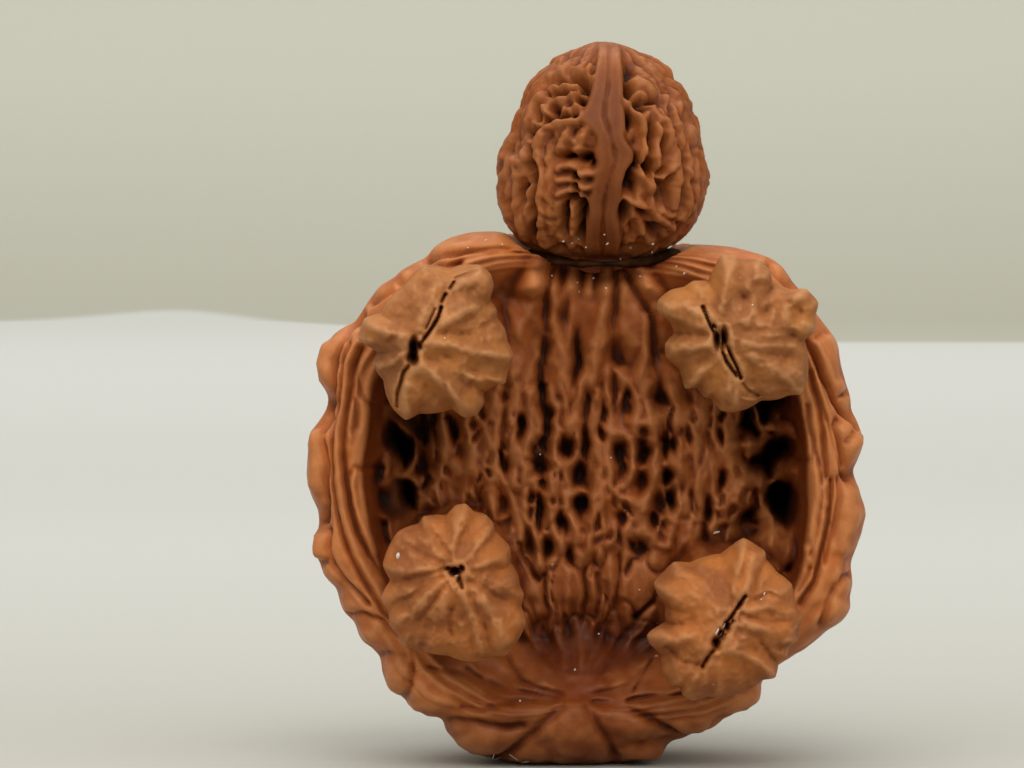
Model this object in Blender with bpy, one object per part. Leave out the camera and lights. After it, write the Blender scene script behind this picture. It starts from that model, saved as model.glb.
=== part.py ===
# Turtle figure made of hand walnuts: one big walnut as the body, standing on its
# base end with the netted belly side to -Y, a small walnut as the head and four
# walnut base ends as the feet.
#
# All forms are drawn on a front sketch (x to the right, z up): sketch units are
# SKETCH to a millimetre, counted from the left and from the top, with the middle
# of the resting spot at (SKETCH_X, SKETCH_Z). Depths are in millimetres behind the
# crest of the body's flange, and the resting spot's middle is REST_Y behind it.
# Everything is turned into metres round the resting spot at the end.

import math

import bpy
import numpy as np

SKETCH = 11.2
SKETCH_X = 580.0
SKETCH_Z = 767.0

BODY_SUBDIVISIONS = 7
BODY_TRIANGLES = 9200
HEAD_SUBDIVISIONS = 6
HEAD_TRIANGLES = 2800
FOOT_SUBDIVISIONS = 6
FOOT_TRIANGLES = 1000

BODY_MIDDLE = (586.0, 505.0)
CREST_IN = 3.0
CREST_IN_BASE = 3.0
RIM_DEPTH = 4.5
RIM_DEPTH_BASE = 5.0
BACK_DEPTH = 25.0
CREST_ANGLE = math.radians(80)
RIM_ANGLE = math.radians(105)
CORD_STEP = 1.15
CORD_HEIGHT = 0.4

HEAD_MIDDLE = (603.0, 155.0)
HEAD_Y = 5.5
HEAD_DEPTH = 8.8
HEAD_SEAT_Z = 45.3

REST_Y = 9.4
SEAT_GAP = 0.3
FOOT_SEAT_RADIUS = 4.3

# Silhouette of the body, anticlockwise from the right, with the lobes of the
# carapace that look out behind the flange.
BODY_OUTLINE = [
    (853, 473), (856, 460), (861, 450), (864, 440), (861, 430), (857, 420), (851, 410), (851, 397),
    (848, 388), (842, 374), (840, 358), (839, 346), (836, 339), (829, 330), (821, 320), (812, 308),
    (804, 294), (793, 283), (783, 267), (770, 258), (750, 252), (735, 248), (715, 246), (690, 245),
    (640, 244), (590, 243), (540, 240), (512, 236), (498, 232), (470, 233), (450, 238), (434, 247),
    (427, 258), (410, 266), (400, 271), (395, 278), (380, 286), (370, 299), (360, 315), (354, 324),
    (345, 327), (335, 333), (327, 343), (320, 358), (318, 368), (321, 382), (329, 398), (326, 411),
    (318, 423), (310, 433), (308, 446), (307, 460), (306, 478), (311, 497), (318, 511), (319, 525),
    (315, 540), (314, 554), (320, 565), (323, 577), (336, 589), (339, 602), (343, 614), (354, 623),
    (360, 641), (371, 649), (380, 659), (382, 673), (391, 689), (401, 700), (415, 711), (430, 716),
    (441, 719), (446, 731), (460, 742), (468, 751), (478, 760), (495, 766), (530, 772), (580, 774),
    (625, 772), (648, 766), (660, 757), (669, 747), (684, 745), (699, 736), (710, 734), (727, 722),
    (740, 714), (750, 705), (761, 693), (766, 678), (776, 670), (795, 657), (813, 646), (828, 632),
    (845, 621), (852, 609), (850, 598), (854, 586), (851, 565), (858, 545), (863, 530), (867, 512),
    (862, 498), (858, 486),
]

# Plump strands of the belly: points, half width, height.
BELLY_RIBS = [
    ([(537, 262), (530, 290), (522, 320), (514, 345), (508, 372)], 16, 1.5),
    ([(498, 300), (492, 340), (488, 380)], 12.5, 0.6),
    ([(508, 372), (499, 410), (495, 445), (490, 480)], 12.5, 0.9),
    ([(557, 290), (554, 320), (552, 340), (562, 365), (566, 395), (567, 425)], 11, 0.8),
    ([(606, 278), (604, 310), (600, 345), (592, 372), (582, 395), (575, 425), (577, 440)], 11, 1.7),
    ([(612, 285), (606, 330), (606, 380), (609, 420), (612, 440)], 9, 0.9),
    ([(597, 380), (594, 420), (598, 450), (600, 480), (596, 520), (594, 560)], 11, 1.0),
    ([(626, 290), (628, 320), (626, 340)], 16, 1.0),
    ([(634, 270), (650, 290), (663, 314), (672, 342)], 11, 1.5),
    ([(645, 318), (645, 350), (643, 378), (650, 402), (656, 420), (655, 440)], 7.5, 0.9),
    ([(622, 372), (629, 388), (640, 408), (636, 430)], 6, 0.8),
    ([(672, 340), (684, 375), (700, 412), (698, 445), (704, 480), (697, 520), (690, 545)], 10, 0.9),
    ([(712, 415), (722, 446), (738, 476), (748, 508)], 9, 0.9),
    ([(441, 405), (443, 440), (440, 470), (432, 498)], 6, 0.8),
    ([(469, 412), (473, 440), (470, 470)], 6, 0.8),
    ([(514, 385), (511, 415), (511, 440), (519, 452), (524, 470), (514, 484)], 9, 1.0),
    ([(532, 395), (531, 430), (527, 455)], 7.5, 1.0),
    ([(561, 432), (556, 455), (556, 475), (549, 492)], 6, 0.9),
    ([(576, 460), (567, 472), (565, 495), (570, 517), (578, 535)], 6, 1.0),
    ([(600, 486), (594, 500), (596, 520)], 6, 0.8),
    ([(610, 445), (606, 470), (612, 488), (626, 500), (640, 506), (648, 498)], 6, 1.0),
    ([(630, 440), (635, 460), (633, 478), (620, 488)], 5, 1.0),
    ([(660, 458), (655, 474), (649, 492), (646, 512)], 6, 1.0),
    ([(679, 455), (684, 476), (682, 500), (672, 520), (668, 545)], 7.5, 1.0),
    ([(490, 492), (494, 512), (508, 535), (516, 560)], 7.5, 0.8),
    ([(505, 486), (512, 500), (518, 520), (522, 540)], 6, 0.8),
    ([(553, 488), (551, 512), (556, 535), (562, 552)], 5.5, 1.0),
    ([(525, 492), (526, 510), (532, 528), (536, 545)], 5.5, 0.8),
    ([(611, 545), (617, 530), (628, 532), (634, 548)], 7.5, 0.9),
    ([(646, 520), (640, 535), (652, 545)], 6, 0.7),
    ([(716, 470), (722, 500), (716, 530)], 10, 0.7),
]

# Webs that tie the strands together: points, half width, height.
BELLY_WEBS = [
    ([(496, 476), (512, 482), (526, 478)], 7, 0.7),
    ([(556, 462), (566, 464), (577, 458)], 6, 0.9),
    ([(530, 482), (546, 476), (556, 472)], 6, 0.7),
    ([(571, 432), (580, 428), (592, 432)], 6, 0.8),
    ([(632, 420), (645, 424), (657, 421)], 6, 0.9),
    ([(657, 462), (668, 462), (682, 466)], 6, 0.9),
    ([(572, 496), (580, 495), (592, 497)], 6, 0.9),
    ([(547, 495), (543, 494), (536, 492)], 4.5, 0.7),
    ([(478, 478), (494, 482)], 8.5, 0.6),
    ([(443, 412), (456, 414), (470, 412)], 7, 0.5),
    ([(441, 474), (455, 470), (472, 474), (490, 480)], 10, 0.7),
    ([(660, 520), (672, 512), (684, 512)], 6, 0.8),
    ([(700, 455), (716, 466), (736, 474)], 7, 0.7),
    ([(556, 534), (570, 538), (584, 540)], 7, 0.8),
    ([(618, 496), (626, 512), (640, 522)], 6, 0.7),
]

# Pits of the belly: middle, half width, half height, depth.
BELLY_PITS = [
    (456, 431, 7, 15.5, 1.7), (460, 455, 5, 10, 1.1), (475, 432, 3.5, 10, 0.9), (503, 452, 2.5, 14, 1.4),
    (507, 468, 3.5, 10, 1.7), (520, 428, 4.5, 11, 2), (541, 466, 8.5, 12.5, 2.9), (546, 447, 7, 11, 2.4),
    (536, 455, 4.5, 9, 1.8), (544, 485, 5, 7, 2), (567, 448, 7, 9, 2.9), (585, 441, 4.5, 14, 2.3),
    (578, 479, 6, 12.5, 2.4), (581, 508, 7, 11, 2.8), (553, 501, 2.5, 4.5, 1.4), (533, 500, 4.5, 7, 1.5),
    (532, 515, 3.5, 7, 1.5), (541, 514, 3.5, 17, 2.4), (563, 528, 5, 10, 2.3), (547, 550, 5, 9, 2.4),
    (529, 545, 5, 14.5, 1.9), (618, 458, 5, 14.5, 2), (621, 472, 4.5, 8, 2.5), (643, 455, 5, 11, 2.8),
    (643, 483, 6, 12.5, 2.9), (646, 432, 3.5, 7, 1.7), (667, 444, 5, 17, 2.5), (676, 441, 3.5, 10, 1.9),
    (670, 482, 5, 12.5, 2.8), (672, 501, 6, 15.5, 3), (660, 505, 7.5, 11, 2.8), (654, 521, 5, 10, 2.3),
    (664, 530, 4.5, 11, 1.5), (622, 521, 4.5, 10, 1.8), (683, 491, 5, 11, 1.4), (690, 435, 2.5, 9, 1.4),
    (722, 486, 3.5, 10, 1.5), (708, 511, 5, 14.5, 2.2), (706, 536, 5, 14, 2), (641, 549, 8.5, 9, 1.9),
    (501, 510, 5, 14.5, 1.4), (576, 358, 5, 23.5, 1.9), (545, 352, 5, 14, 1.5), (564, 310, 5, 21.5, 0.9),
    (547, 318, 4.5, 23.5, 0.7), (622, 354, 11, 14.5, 1.5), (629, 405, 5, 14, 2.2), (661, 400, 7.5, 14.5, 1.8),
    (692, 394, 12, 14.5, 1.5), (586, 404, 4.5, 20, 1.5), (614, 390, 3.5, 18, 1.2), (616, 300, 3.5, 20, 0.7),
    (656, 340, 4.5, 23.5, 1), (655, 262, 19, 10, 1.4), (600, 262, 51.5, 10, 1.5), (752, 528, 7.5, 14, 2.5),
    (480, 500, 5, 14, 1.5), (570, 560, 5, 9, 1.5), (722, 430, 5, 15.5, 1), (744, 440, 5, 14, 1.2),
]

# Narrow clefts and slits of the belly: points, half width, depth.
BELLY_SLITS = [
    ([(544, 352), (540, 368), (539, 384)], 5.0, 1.0),
    ([(541, 388), (544, 408), (548, 420), (549, 436)], 5.0, 2.2),
    ([(600, 384), (604, 402), (603, 430), (602, 460), (601, 478)], 1.8, 0.8),
    ([(598, 500), (599, 530), (597, 560), (592, 580)], 1.8, 0.8),
    ([(560, 398), (562, 425)], 2.2, 0.8),
    ([(638, 286), (648, 306), (657, 334), (662, 352)], 4.0, 0.6),
    ([(508, 366), (505, 400), (502, 436)], 3.2, 0.6),
    ([(437, 405), (438, 440), (436, 470)], 2.8, 1.2),
    ([(612, 492), (622, 506), (632, 516)], 1.8, 0.8),
    ([(716, 420), (706, 440), (700, 465)], 1.8, 0.9),
    ([(520, 545), (528, 566), (540, 582)], 3.2, 1.4),
    ([(624, 574), (632, 562), (650, 553)], 2.8, 1.2),
    ([(638, 619), (650, 609), (662, 590)], 2.8, 1.4),
    ([(586, 570), (585, 600), (584, 622)], 1.7, 0.8),
    ([(597, 578), (599, 600), (594, 620)], 2.2, 1.3),
    ([(605, 585), (607, 604)], 1.6, 0.7),
    ([(566, 620), (569, 632), (571, 642)], 1.6, 0.9),
    ([(545, 578), (547, 604), (544, 634)], 1.7, 0.8),
    ([(618, 560), (618, 590), (616, 612)], 1.6, 0.6),
    ([(536, 628), (533, 646)], 2.0, 0.5),
    ([(610, 628), (606, 650)], 1.8, 0.5),
]

# Caves of the gutters between belly and flange: rim points, depth, width of the slope.
GUTTER_CAVES = [
    ([(388, 418), (382, 432), (381, 444), (386, 452), (392, 462), (398, 476), (403, 479), (409, 474),
      (416, 462), (418, 451), (414, 440), (406, 433), (398, 425)], 7.0, 16.0),
    ([(397, 483), (396, 498), (400, 510), (408, 519), (418, 518), (419, 500), (415, 486), (407, 481)], 6.0, 16.0),
    ([(752, 398), (764, 393), (796, 390), (789, 402), (780, 412), (775, 421), (769, 431), (761, 426), (757, 414)],
     7.0, 16.0),
    ([(740, 412), (738, 428), (745, 438), (755, 444), (763, 449), (766, 438), (760, 426), (757, 412), (750, 402)],
     6.0, 16.0),
    ([(768, 449), (777, 441), (788, 437), (798, 440), (800, 452), (797, 461), (790, 465), (784, 476),
      (777, 487), (769, 486), (763, 479), (752, 478), (744, 463), (743, 456), (752, 462)], 7.0, 16.0),
    ([(768, 489), (778, 484), (792, 481), (802, 483), (809, 491), (808, 503), (804, 514), (798, 526),
      (789, 534), (782, 527), (773, 520), (767, 511), (765, 500)], 7.0, 17.0),
    ([(795, 536), (802, 545), (803, 556), (798, 568), (790, 578), (784, 570), (793, 556)], 5.0, 8.0),
    ([(384, 376), (390, 376), (392, 402), (386, 404)], 3.0, 4.0),
    ([(352, 522), (364, 540), (382, 556), (392, 548), (390, 524), (376, 508), (362, 505)], 2.2, 9.0),
]

# Shallow pockets of the flange's inner wall: middle, half sizes, depth.
WALL_POCKETS = [
    (367, 484, 12, 16, 1.6), (380, 500, 9, 12, 1.2), (366, 445, 7, 22, 0.6), (800, 428, 8, 10, 1.6),
    (424, 470, 9, 18, 1.2), (427, 430, 7, 16, 1.0), (795, 500, 14, 14, 0.8), (372, 410, 4, 20, 0.4),
]

# Round knobs, webs and folds that stand in the gutters: middle, half sizes, height.
GUTTER_KNOBS = [
    (779, 548, 16, 22, 4.6), (752, 448, 16, 5, 1.6), (783, 431, 14, 7, 2.4), (790, 473, 12, 7, 2.6),
    (812, 474, 10, 12, 1.2), (389, 470, 5, 18, 1.4), (755, 486, 12, 8, 1.8), (741, 500, 14, 14, 1.6),
    (430, 505, 12, 10, 1.4), (806, 450, 9, 8, 1.0), (774, 419, 5, 8, 1.4), (420, 483, 6, 5, 1.2),
    (358, 352, 8, 14, 0.8),
]

# Scales above the base star: middle, half width, half height.
BELLY_SCALES = [
    (568, 592, 15, 27), (592, 596, 6, 22), (611, 575, 6, 27), (641, 586, 19, 27), (603, 613, 6, 10),
    (533, 596, 13, 28), (628, 616, 9, 14), (550, 560, 7, 15), (580, 552, 9, 18), (551, 600, 3, 34),
    (606, 548, 7, 16), (541, 567, 7, 11), (541, 640, 8, 14), (575, 632, 6, 12), (657, 566, 9, 11),
    (590, 632, 6, 12), (614, 634, 7, 14), (655, 616, 12, 9), (560, 650, 6, 14), (584, 656, 6, 13),
    (602, 658, 6, 12), (625, 652, 8, 14), (524, 632, 8, 18), (645, 640, 9, 14), (520, 656, 9, 12),
]

# Hollow in the flange under the head: middle, half sizes, depth.
NECK_HOLLOW = [(597, 260, 58, 24, 3.6)]

# Folds that run up into that hollow: points, half width, height.
NECK_FOLDS = [
    ([(544, 258), (538, 272), (532, 292)], 12, 2.2), ([(607, 274), (606, 300)], 8, 1.6),
    ([(634, 266), (642, 276), (652, 294)], 9, 2.2), ([(573, 272), (570, 300)], 7, 1.2),
    ([(590, 276), (588, 298)], 5, 0.9), ([(622, 276), (626, 298)], 6, 1.0), ([(556, 270), (553, 296)], 5, 0.8),
]

# Grooves that run out from the base star: points, half width, depth.
STAR_GROOVES = [
    ([(560, 694), (538, 690), (520, 682), (511, 668), (505, 648)], 3.4, 1.0),
    ([(556, 697), (520, 692), (500, 687), (482, 680), (466, 668)], 3.2, 1.1),
    ([(556, 700), (520, 699), (500, 701), (478, 707), (462, 704)], 3.0, 0.8),
    ([(562, 705), (548, 716), (533, 732), (512, 750), (496, 764)], 5.0, 1.0),
    ([(586, 706), (598, 722), (607, 737), (617, 757)], 4.5, 0.9),
    ([(592, 702), (625, 705), (645, 713), (660, 722), (678, 736)], 4.0, 1.3),
    ([(628, 700), (655, 696), (680, 692), (700, 689), (742, 686)], 3.0, 1.3),
    ([(634, 690), (643, 676), (652, 662)], 2.0, 0.9),
    ([(586, 696), (610, 690), (630, 684), (650, 668)], 3.2, 0.6),
    ([(452, 717), (470, 716), (500, 722), (522, 724)], 4.0, 0.9),
    ([(413, 652), (414, 670), (411, 686), (404, 700)], 3.6, 0.8),
    ([(378, 656), (392, 650), (406, 654)], 3.0, 0.7),
    ([(640, 742), (660, 740), (690, 742)], 5.0, 0.7),
    ([(430, 664), (460, 670), (482, 680)], 3.0, 0.7),
    ([(702, 735), (714, 722), (740, 712)], 3.0, 0.5),
]

# Swellings between those grooves: middle, half sizes, height.
STAR_LOBES = [
    (500, 711, 42, 8, 1.0), (655, 705, 42, 6, 0.7), (572, 735, 30, 24, 0.9), (640, 724, 26, 10, 0.8),
    (478, 738, 30, 13, 1.2), (440, 692, 26, 22, 1.2), (740, 700, 30, 12, 0.8), (395, 680, 13, 20, 0.6),
    (530, 752, 24, 10, 0.8), (650, 752, 24, 8, 0.9), (460, 650, 30, 14, 0.5), (690, 725, 20, 8, 0.7),
    (520, 690, 16, 5, 0.5), (610, 684, 22, 5, 0.4),
]

# Creases along and across the flange: points, half width, depth.
FLANGE_CREASES = [
    ([(362, 312), (352, 326), (343, 342), (338, 358), (337, 378), (333, 400), (330, 418), (322, 432)], 2.6, 0.9),
    ([(322, 434), (326, 448), (328, 462), (326, 478), (328, 500), (324, 520)], 2.2, 0.8),
    ([(352, 340), (345, 362), (342, 385), (339, 408), (334, 430), (332, 452), (332, 476), (336, 500),
      (342, 528), (350, 550), (361, 571), (371, 589), (382, 606), (394, 622)], 2.2, 0.8),
    ([(362, 346), (356, 364), (353, 385), (349, 405), (345, 428), (344, 452), (346, 478), (351, 502),
      (358, 532), (370, 554), (382, 572), (394, 592)], 2.4, 0.9),
    ([(329, 528), (328, 548), (333, 563), (345, 578), (358, 592), (368, 602)], 2.2, 0.8),
    ([(316, 564), (324, 562), (331, 556)], 2.0, 0.6),
    ([(350, 472), (356, 466), (370, 466), (382, 470)], 2.0, 0.5),
    ([(357, 372), (362, 392), (372, 402)], 2.0, 0.5),
    ([(350, 430), (356, 424), (358, 402), (352, 392)], 1.8, 0.4),
    ([(342, 616), (360, 612), (384, 618), (400, 632)], 2.6, 0.6),
    ([(402, 282), (418, 272), (436, 266), (460, 262)], 2.4, 0.8),
    ([(427, 259), (448, 254), (470, 250), (500, 248), (520, 250)], 2.2, 0.8),
    ([(372, 302), (388, 292), (402, 286), (420, 272)], 2.4, 0.7),
    ([(768, 264), (776, 274), (788, 286), (800, 306)], 2.4, 0.9),
    ([(802, 338), (811, 354), (820, 374), (829, 390), (837, 404), (848, 416), (857, 428)], 2.8, 1.2),
    ([(832, 396), (840, 394), (849, 392)], 1.6, 0.7),
    ([(800, 338), (812, 336), (826, 331)], 1.6, 0.4),
    ([(808, 370), (813, 390), (819, 408), (821, 430), (822, 452), (825, 476), (828, 500)], 1.8, 0.8),
    ([(814, 390), (822, 408), (829, 430), (834, 450), (838, 466), (846, 478)], 1.8, 0.7),
    ([(836, 418), (831, 426), (835, 440), (838, 452), (841, 462)], 2.0, 0.8),
    ([(849, 430), (843, 440)], 2.0, 0.6),
    ([(806, 404), (806, 420), (811, 436), (812, 450)], 2.0, 0.7),
    ([(798, 461), (808, 458), (814, 450), (818, 462), (821, 480)], 1.8, 0.7),
    ([(829, 478), (829, 500), (827, 520), (823, 540), (818, 560), (811, 580), (800, 602)], 2.2, 1.0),
    ([(838, 470), (837, 496), (833, 518), (827, 540), (823, 560)], 1.8, 0.7),
    ([(851, 575), (842, 574), (834, 584), (826, 600), (820, 622)], 2.4, 0.6),
    ([(806, 540), (812, 556), (806, 574), (798, 588)], 2.2, 0.6),
    ([(764, 684), (756, 678), (748, 684)], 2.0, 0.5),
]

# Rounded cords and lobes of the flange: points, half width, height.
FLANGE_CORDS = [
    ([(360, 330), (350, 350), (347, 375), (344, 400), (340, 425), (338, 455), (339, 480), (344, 505),
      (350, 530), (360, 555), (372, 575), (386, 598)], 5.0, 0.7),
    ([(346, 342), (341, 365), (338, 390), (335, 412)], 3.6, 0.4),
    ([(356, 470), (353, 484), (358, 505), (366, 530), (378, 550)], 3.6, 0.5),
    ([(354, 402), (352, 420), (351, 436)], 3.0, 0.4),
    ([(318, 436), (317, 460), (317, 485)], 6.0, 0.5),
    ([(328, 350), (326, 365), (328, 380)], 7.0, 0.5),
    ([(321, 535), (322, 552)], 5.0, 0.5),
    ([(815, 380), (826, 410), (832, 440), (836, 470)], 3.4, 0.5),
    ([(812, 345), (824, 365), (834, 385)], 9.0, 0.6),
    ([(843, 430), (850, 442), (848, 458)], 9.0, 0.6),
    ([(846, 490), (848, 515), (842, 545)], 10.0, 0.6),
    ([(814, 470), (816, 495), (810, 520), (806, 545)], 6.0, 0.8),
    ([(824, 480), (823, 505), (818, 535), (810, 560)], 3.0, 0.5),
    ([(838, 560), (836, 590), (826, 615)], 8.0, 0.4),
]

# Silhouette of the head.
HEAD_OUTLINE = [
    (708, 182), (707, 172), (704, 160), (701, 146), (699, 134), (696, 119), (690, 105), (682, 89),
    (674, 78), (664, 67), (655, 61), (645, 57), (636, 53), (629, 49), (622, 46), (608, 43), (592, 44),
    (583, 48), (570, 53), (556, 60), (547, 69), (536, 78), (526, 91), (520, 104), (514, 121),
    (511, 135), (505, 146), (500, 156), (498, 170), (498, 186), (500, 202), (505, 219), (513, 232),
    (525, 245), (545, 253), (566, 258), (608, 261), (652, 256), (670, 247), (684, 236), (694, 224),
    (701, 209), (706, 196),
]

# Suture ridge of the head: middle line and half width from top to bottom.
HEAD_SUTURE = [
    (52, 609, 11), (70, 608, 15), (90, 607, 16), (104, 604, 18), (117, 603, 22), (125, 606, 18),
    (135, 609, 14), (150, 613, 17), (160, 614, 19), (170, 610, 17), (184, 606, 16), (200, 603, 15.5),
    (217, 602, 15.5), (240, 602, 17),
]

# Ridges of the head's front: points, half width, height.
HEAD_RIDGES = [
    ([(590, 117), (566, 121), (549, 128), (539, 140), (533, 155), (536, 170), (541, 182), (538, 196),
      (541, 212), (539, 228), (547, 243)], 7, 1.0),
    ([(556, 128), (548, 150), (546, 180), (548, 210), (550, 230)], 6, 0.6),
    ([(570, 126), (562, 140), (558, 152)], 5, 0.6),
    ([(585, 126), (577, 138), (574, 148)], 6, 0.6),
    ([(597, 130), (598, 150)], 6, 0.4),
    ([(557, 168), (566, 166), (575, 165)], 4, 0.8),
    ([(557, 180), (566, 180), (573, 180)], 3.5, 0.7),
    ([(557, 193), (566, 192), (575, 190)], 4, 0.8),
    ([(578, 172), (585, 171), (592, 172)], 4, 0.9),
    ([(580, 184), (586, 186), (592, 184)], 4, 0.9),
    ([(580, 197), (588, 198)], 3.5, 0.8),
    ([(570, 206), (570, 218), (573, 230)], 4.5, 0.8),
    ([(557, 204), (557, 222)], 4.5, 0.5),
    ([(590, 66), (584, 73), (592, 78)], 4, 0.9),
    ([(582, 68), (566, 68), (550, 76)], 5, 0.5),
    ([(578, 83), (562, 84), (548, 86)], 4, 0.6),
    ([(582, 95), (565, 95), (551, 102), (545, 112)], 4.5, 0.8),
    ([(576, 104), (568, 108), (573, 113)], 4, 0.6),
    ([(562, 106), (556, 113)], 3.5, 0.5),
    ([(540, 92), (530, 108), (528, 126), (532, 136)], 5, 0.6),
    ([(541, 108), (537, 122), (528, 134)], 4, 0.5),
    ([(526, 140), (520, 150), (524, 158)], 4.5, 0.6),
    ([(516, 160), (514, 180), (516, 204), (524, 228), (532, 242)], 5, 0.9),
    ([(504, 158), (503, 182), (505, 205), (514, 228)], 5, 0.7),
    ([(524, 192), (526, 212), (530, 226)], 4, 0.6),
    ([(625, 99), (630, 108), (640, 119), (646, 135), (645, 150), (641, 158)], 5, 1.0),
    ([(632, 76), (642, 82), (652, 92)], 6, 0.6),
    ([(626, 94), (640, 93), (652, 104), (660, 120)], 5, 0.7),
    ([(648, 112), (655, 128), (657, 148), (656, 164)], 5, 0.7),
    ([(640, 172), (650, 183), (656, 196), (652, 206)], 5, 0.9),
    ([(624, 198), (640, 204), (656, 214), (672, 228)], 5, 0.8),
    ([(662, 180), (668, 172), (674, 164)], 4, 0.8),
    ([(668, 96), (676, 120), (684, 142), (690, 165), (690, 190), (684, 220)], 5, 0.7),
    ([(660, 110), (668, 132), (676, 152), (678, 180), (674, 206)], 5, 0.7),
    ([(682, 104), (691, 130), (697, 158), (699, 186), (694, 212)], 5, 0.6),
    ([(658, 206), (668, 214), (680, 216)], 4.5, 0.5),
    ([(634, 216), (640, 230), (652, 242)], 6, 0.5),
    ([(556, 236), (570, 244), (586, 246)], 6, 0.4),
]

# Pits of the head's front: middle, half sizes, depth.
HEAD_PITS = [
    (583, 156, 8, 5, 2.4), (592, 162, 4, 5, 1.4), (566, 156, 8, 4, 1.3), (575, 176, 3, 4, 1.6),
    (576, 188, 3, 4, 1.8), (573, 200, 7, 4, 1.8), (583, 208, 6, 8, 2.6), (580, 234, 5, 7, 2.0),
    (563, 214, 4, 9, 1.2), (580, 220, 4, 6, 1.2), (592, 190, 3, 4, 1.0), (580, 77, 7, 4, 1.9),
    (560, 78, 10, 3, 0.9), (584, 86, 4, 6, 1.8), (562, 90, 12, 3, 1.1), (580, 98, 4, 4, 1.8),
    (551, 108, 5, 5, 1.3), (560, 116, 8, 3, 1.3), (545, 120, 5, 4, 1.0), (575, 115, 4, 3, 1.0),
    (536, 113, 3, 7, 0.9), (531, 132, 5, 5, 1.2), (531, 180, 5, 16, 2.0), (528, 162, 4, 12, 1.4),
    (533, 207, 4, 12, 2.0), (520, 196, 3, 14, 1.0), (509, 176, 3, 20, 1.0), (533, 230, 4, 10, 1.4),
    (627, 87, 5, 9, 1.9), (630, 67, 7, 10, 0.9), (627, 119, 4, 7, 1.8), (640, 108, 7, 5, 1.3),
    (650, 135, 4, 16, 1.4), (649, 167, 5, 9, 2.0), (629, 177, 5, 11, 2.4), (636, 162, 4, 6, 1.3),
    (661, 192, 5, 11, 2.8), (623, 212, 5, 10, 2.6), (645, 100, 9, 3, 0.9), (633, 186, 4, 8, 1.2),
    (657, 231, 7, 6, 1.4), (662, 170, 4, 6, 1.0), (668, 190, 4, 14, 1.0), (684, 180, 2.5, 26, 0.8),
    (672, 112, 2.5, 18, 0.7), (664, 150, 3, 12, 0.7), (693, 170, 2, 22, 0.6), (634, 228, 6, 8, 0.9),
    (685, 120, 2.5, 18, 0.6), (646, 214, 6, 4, 0.8), (608, 252, 40, 5, 0.6),
]

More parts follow.
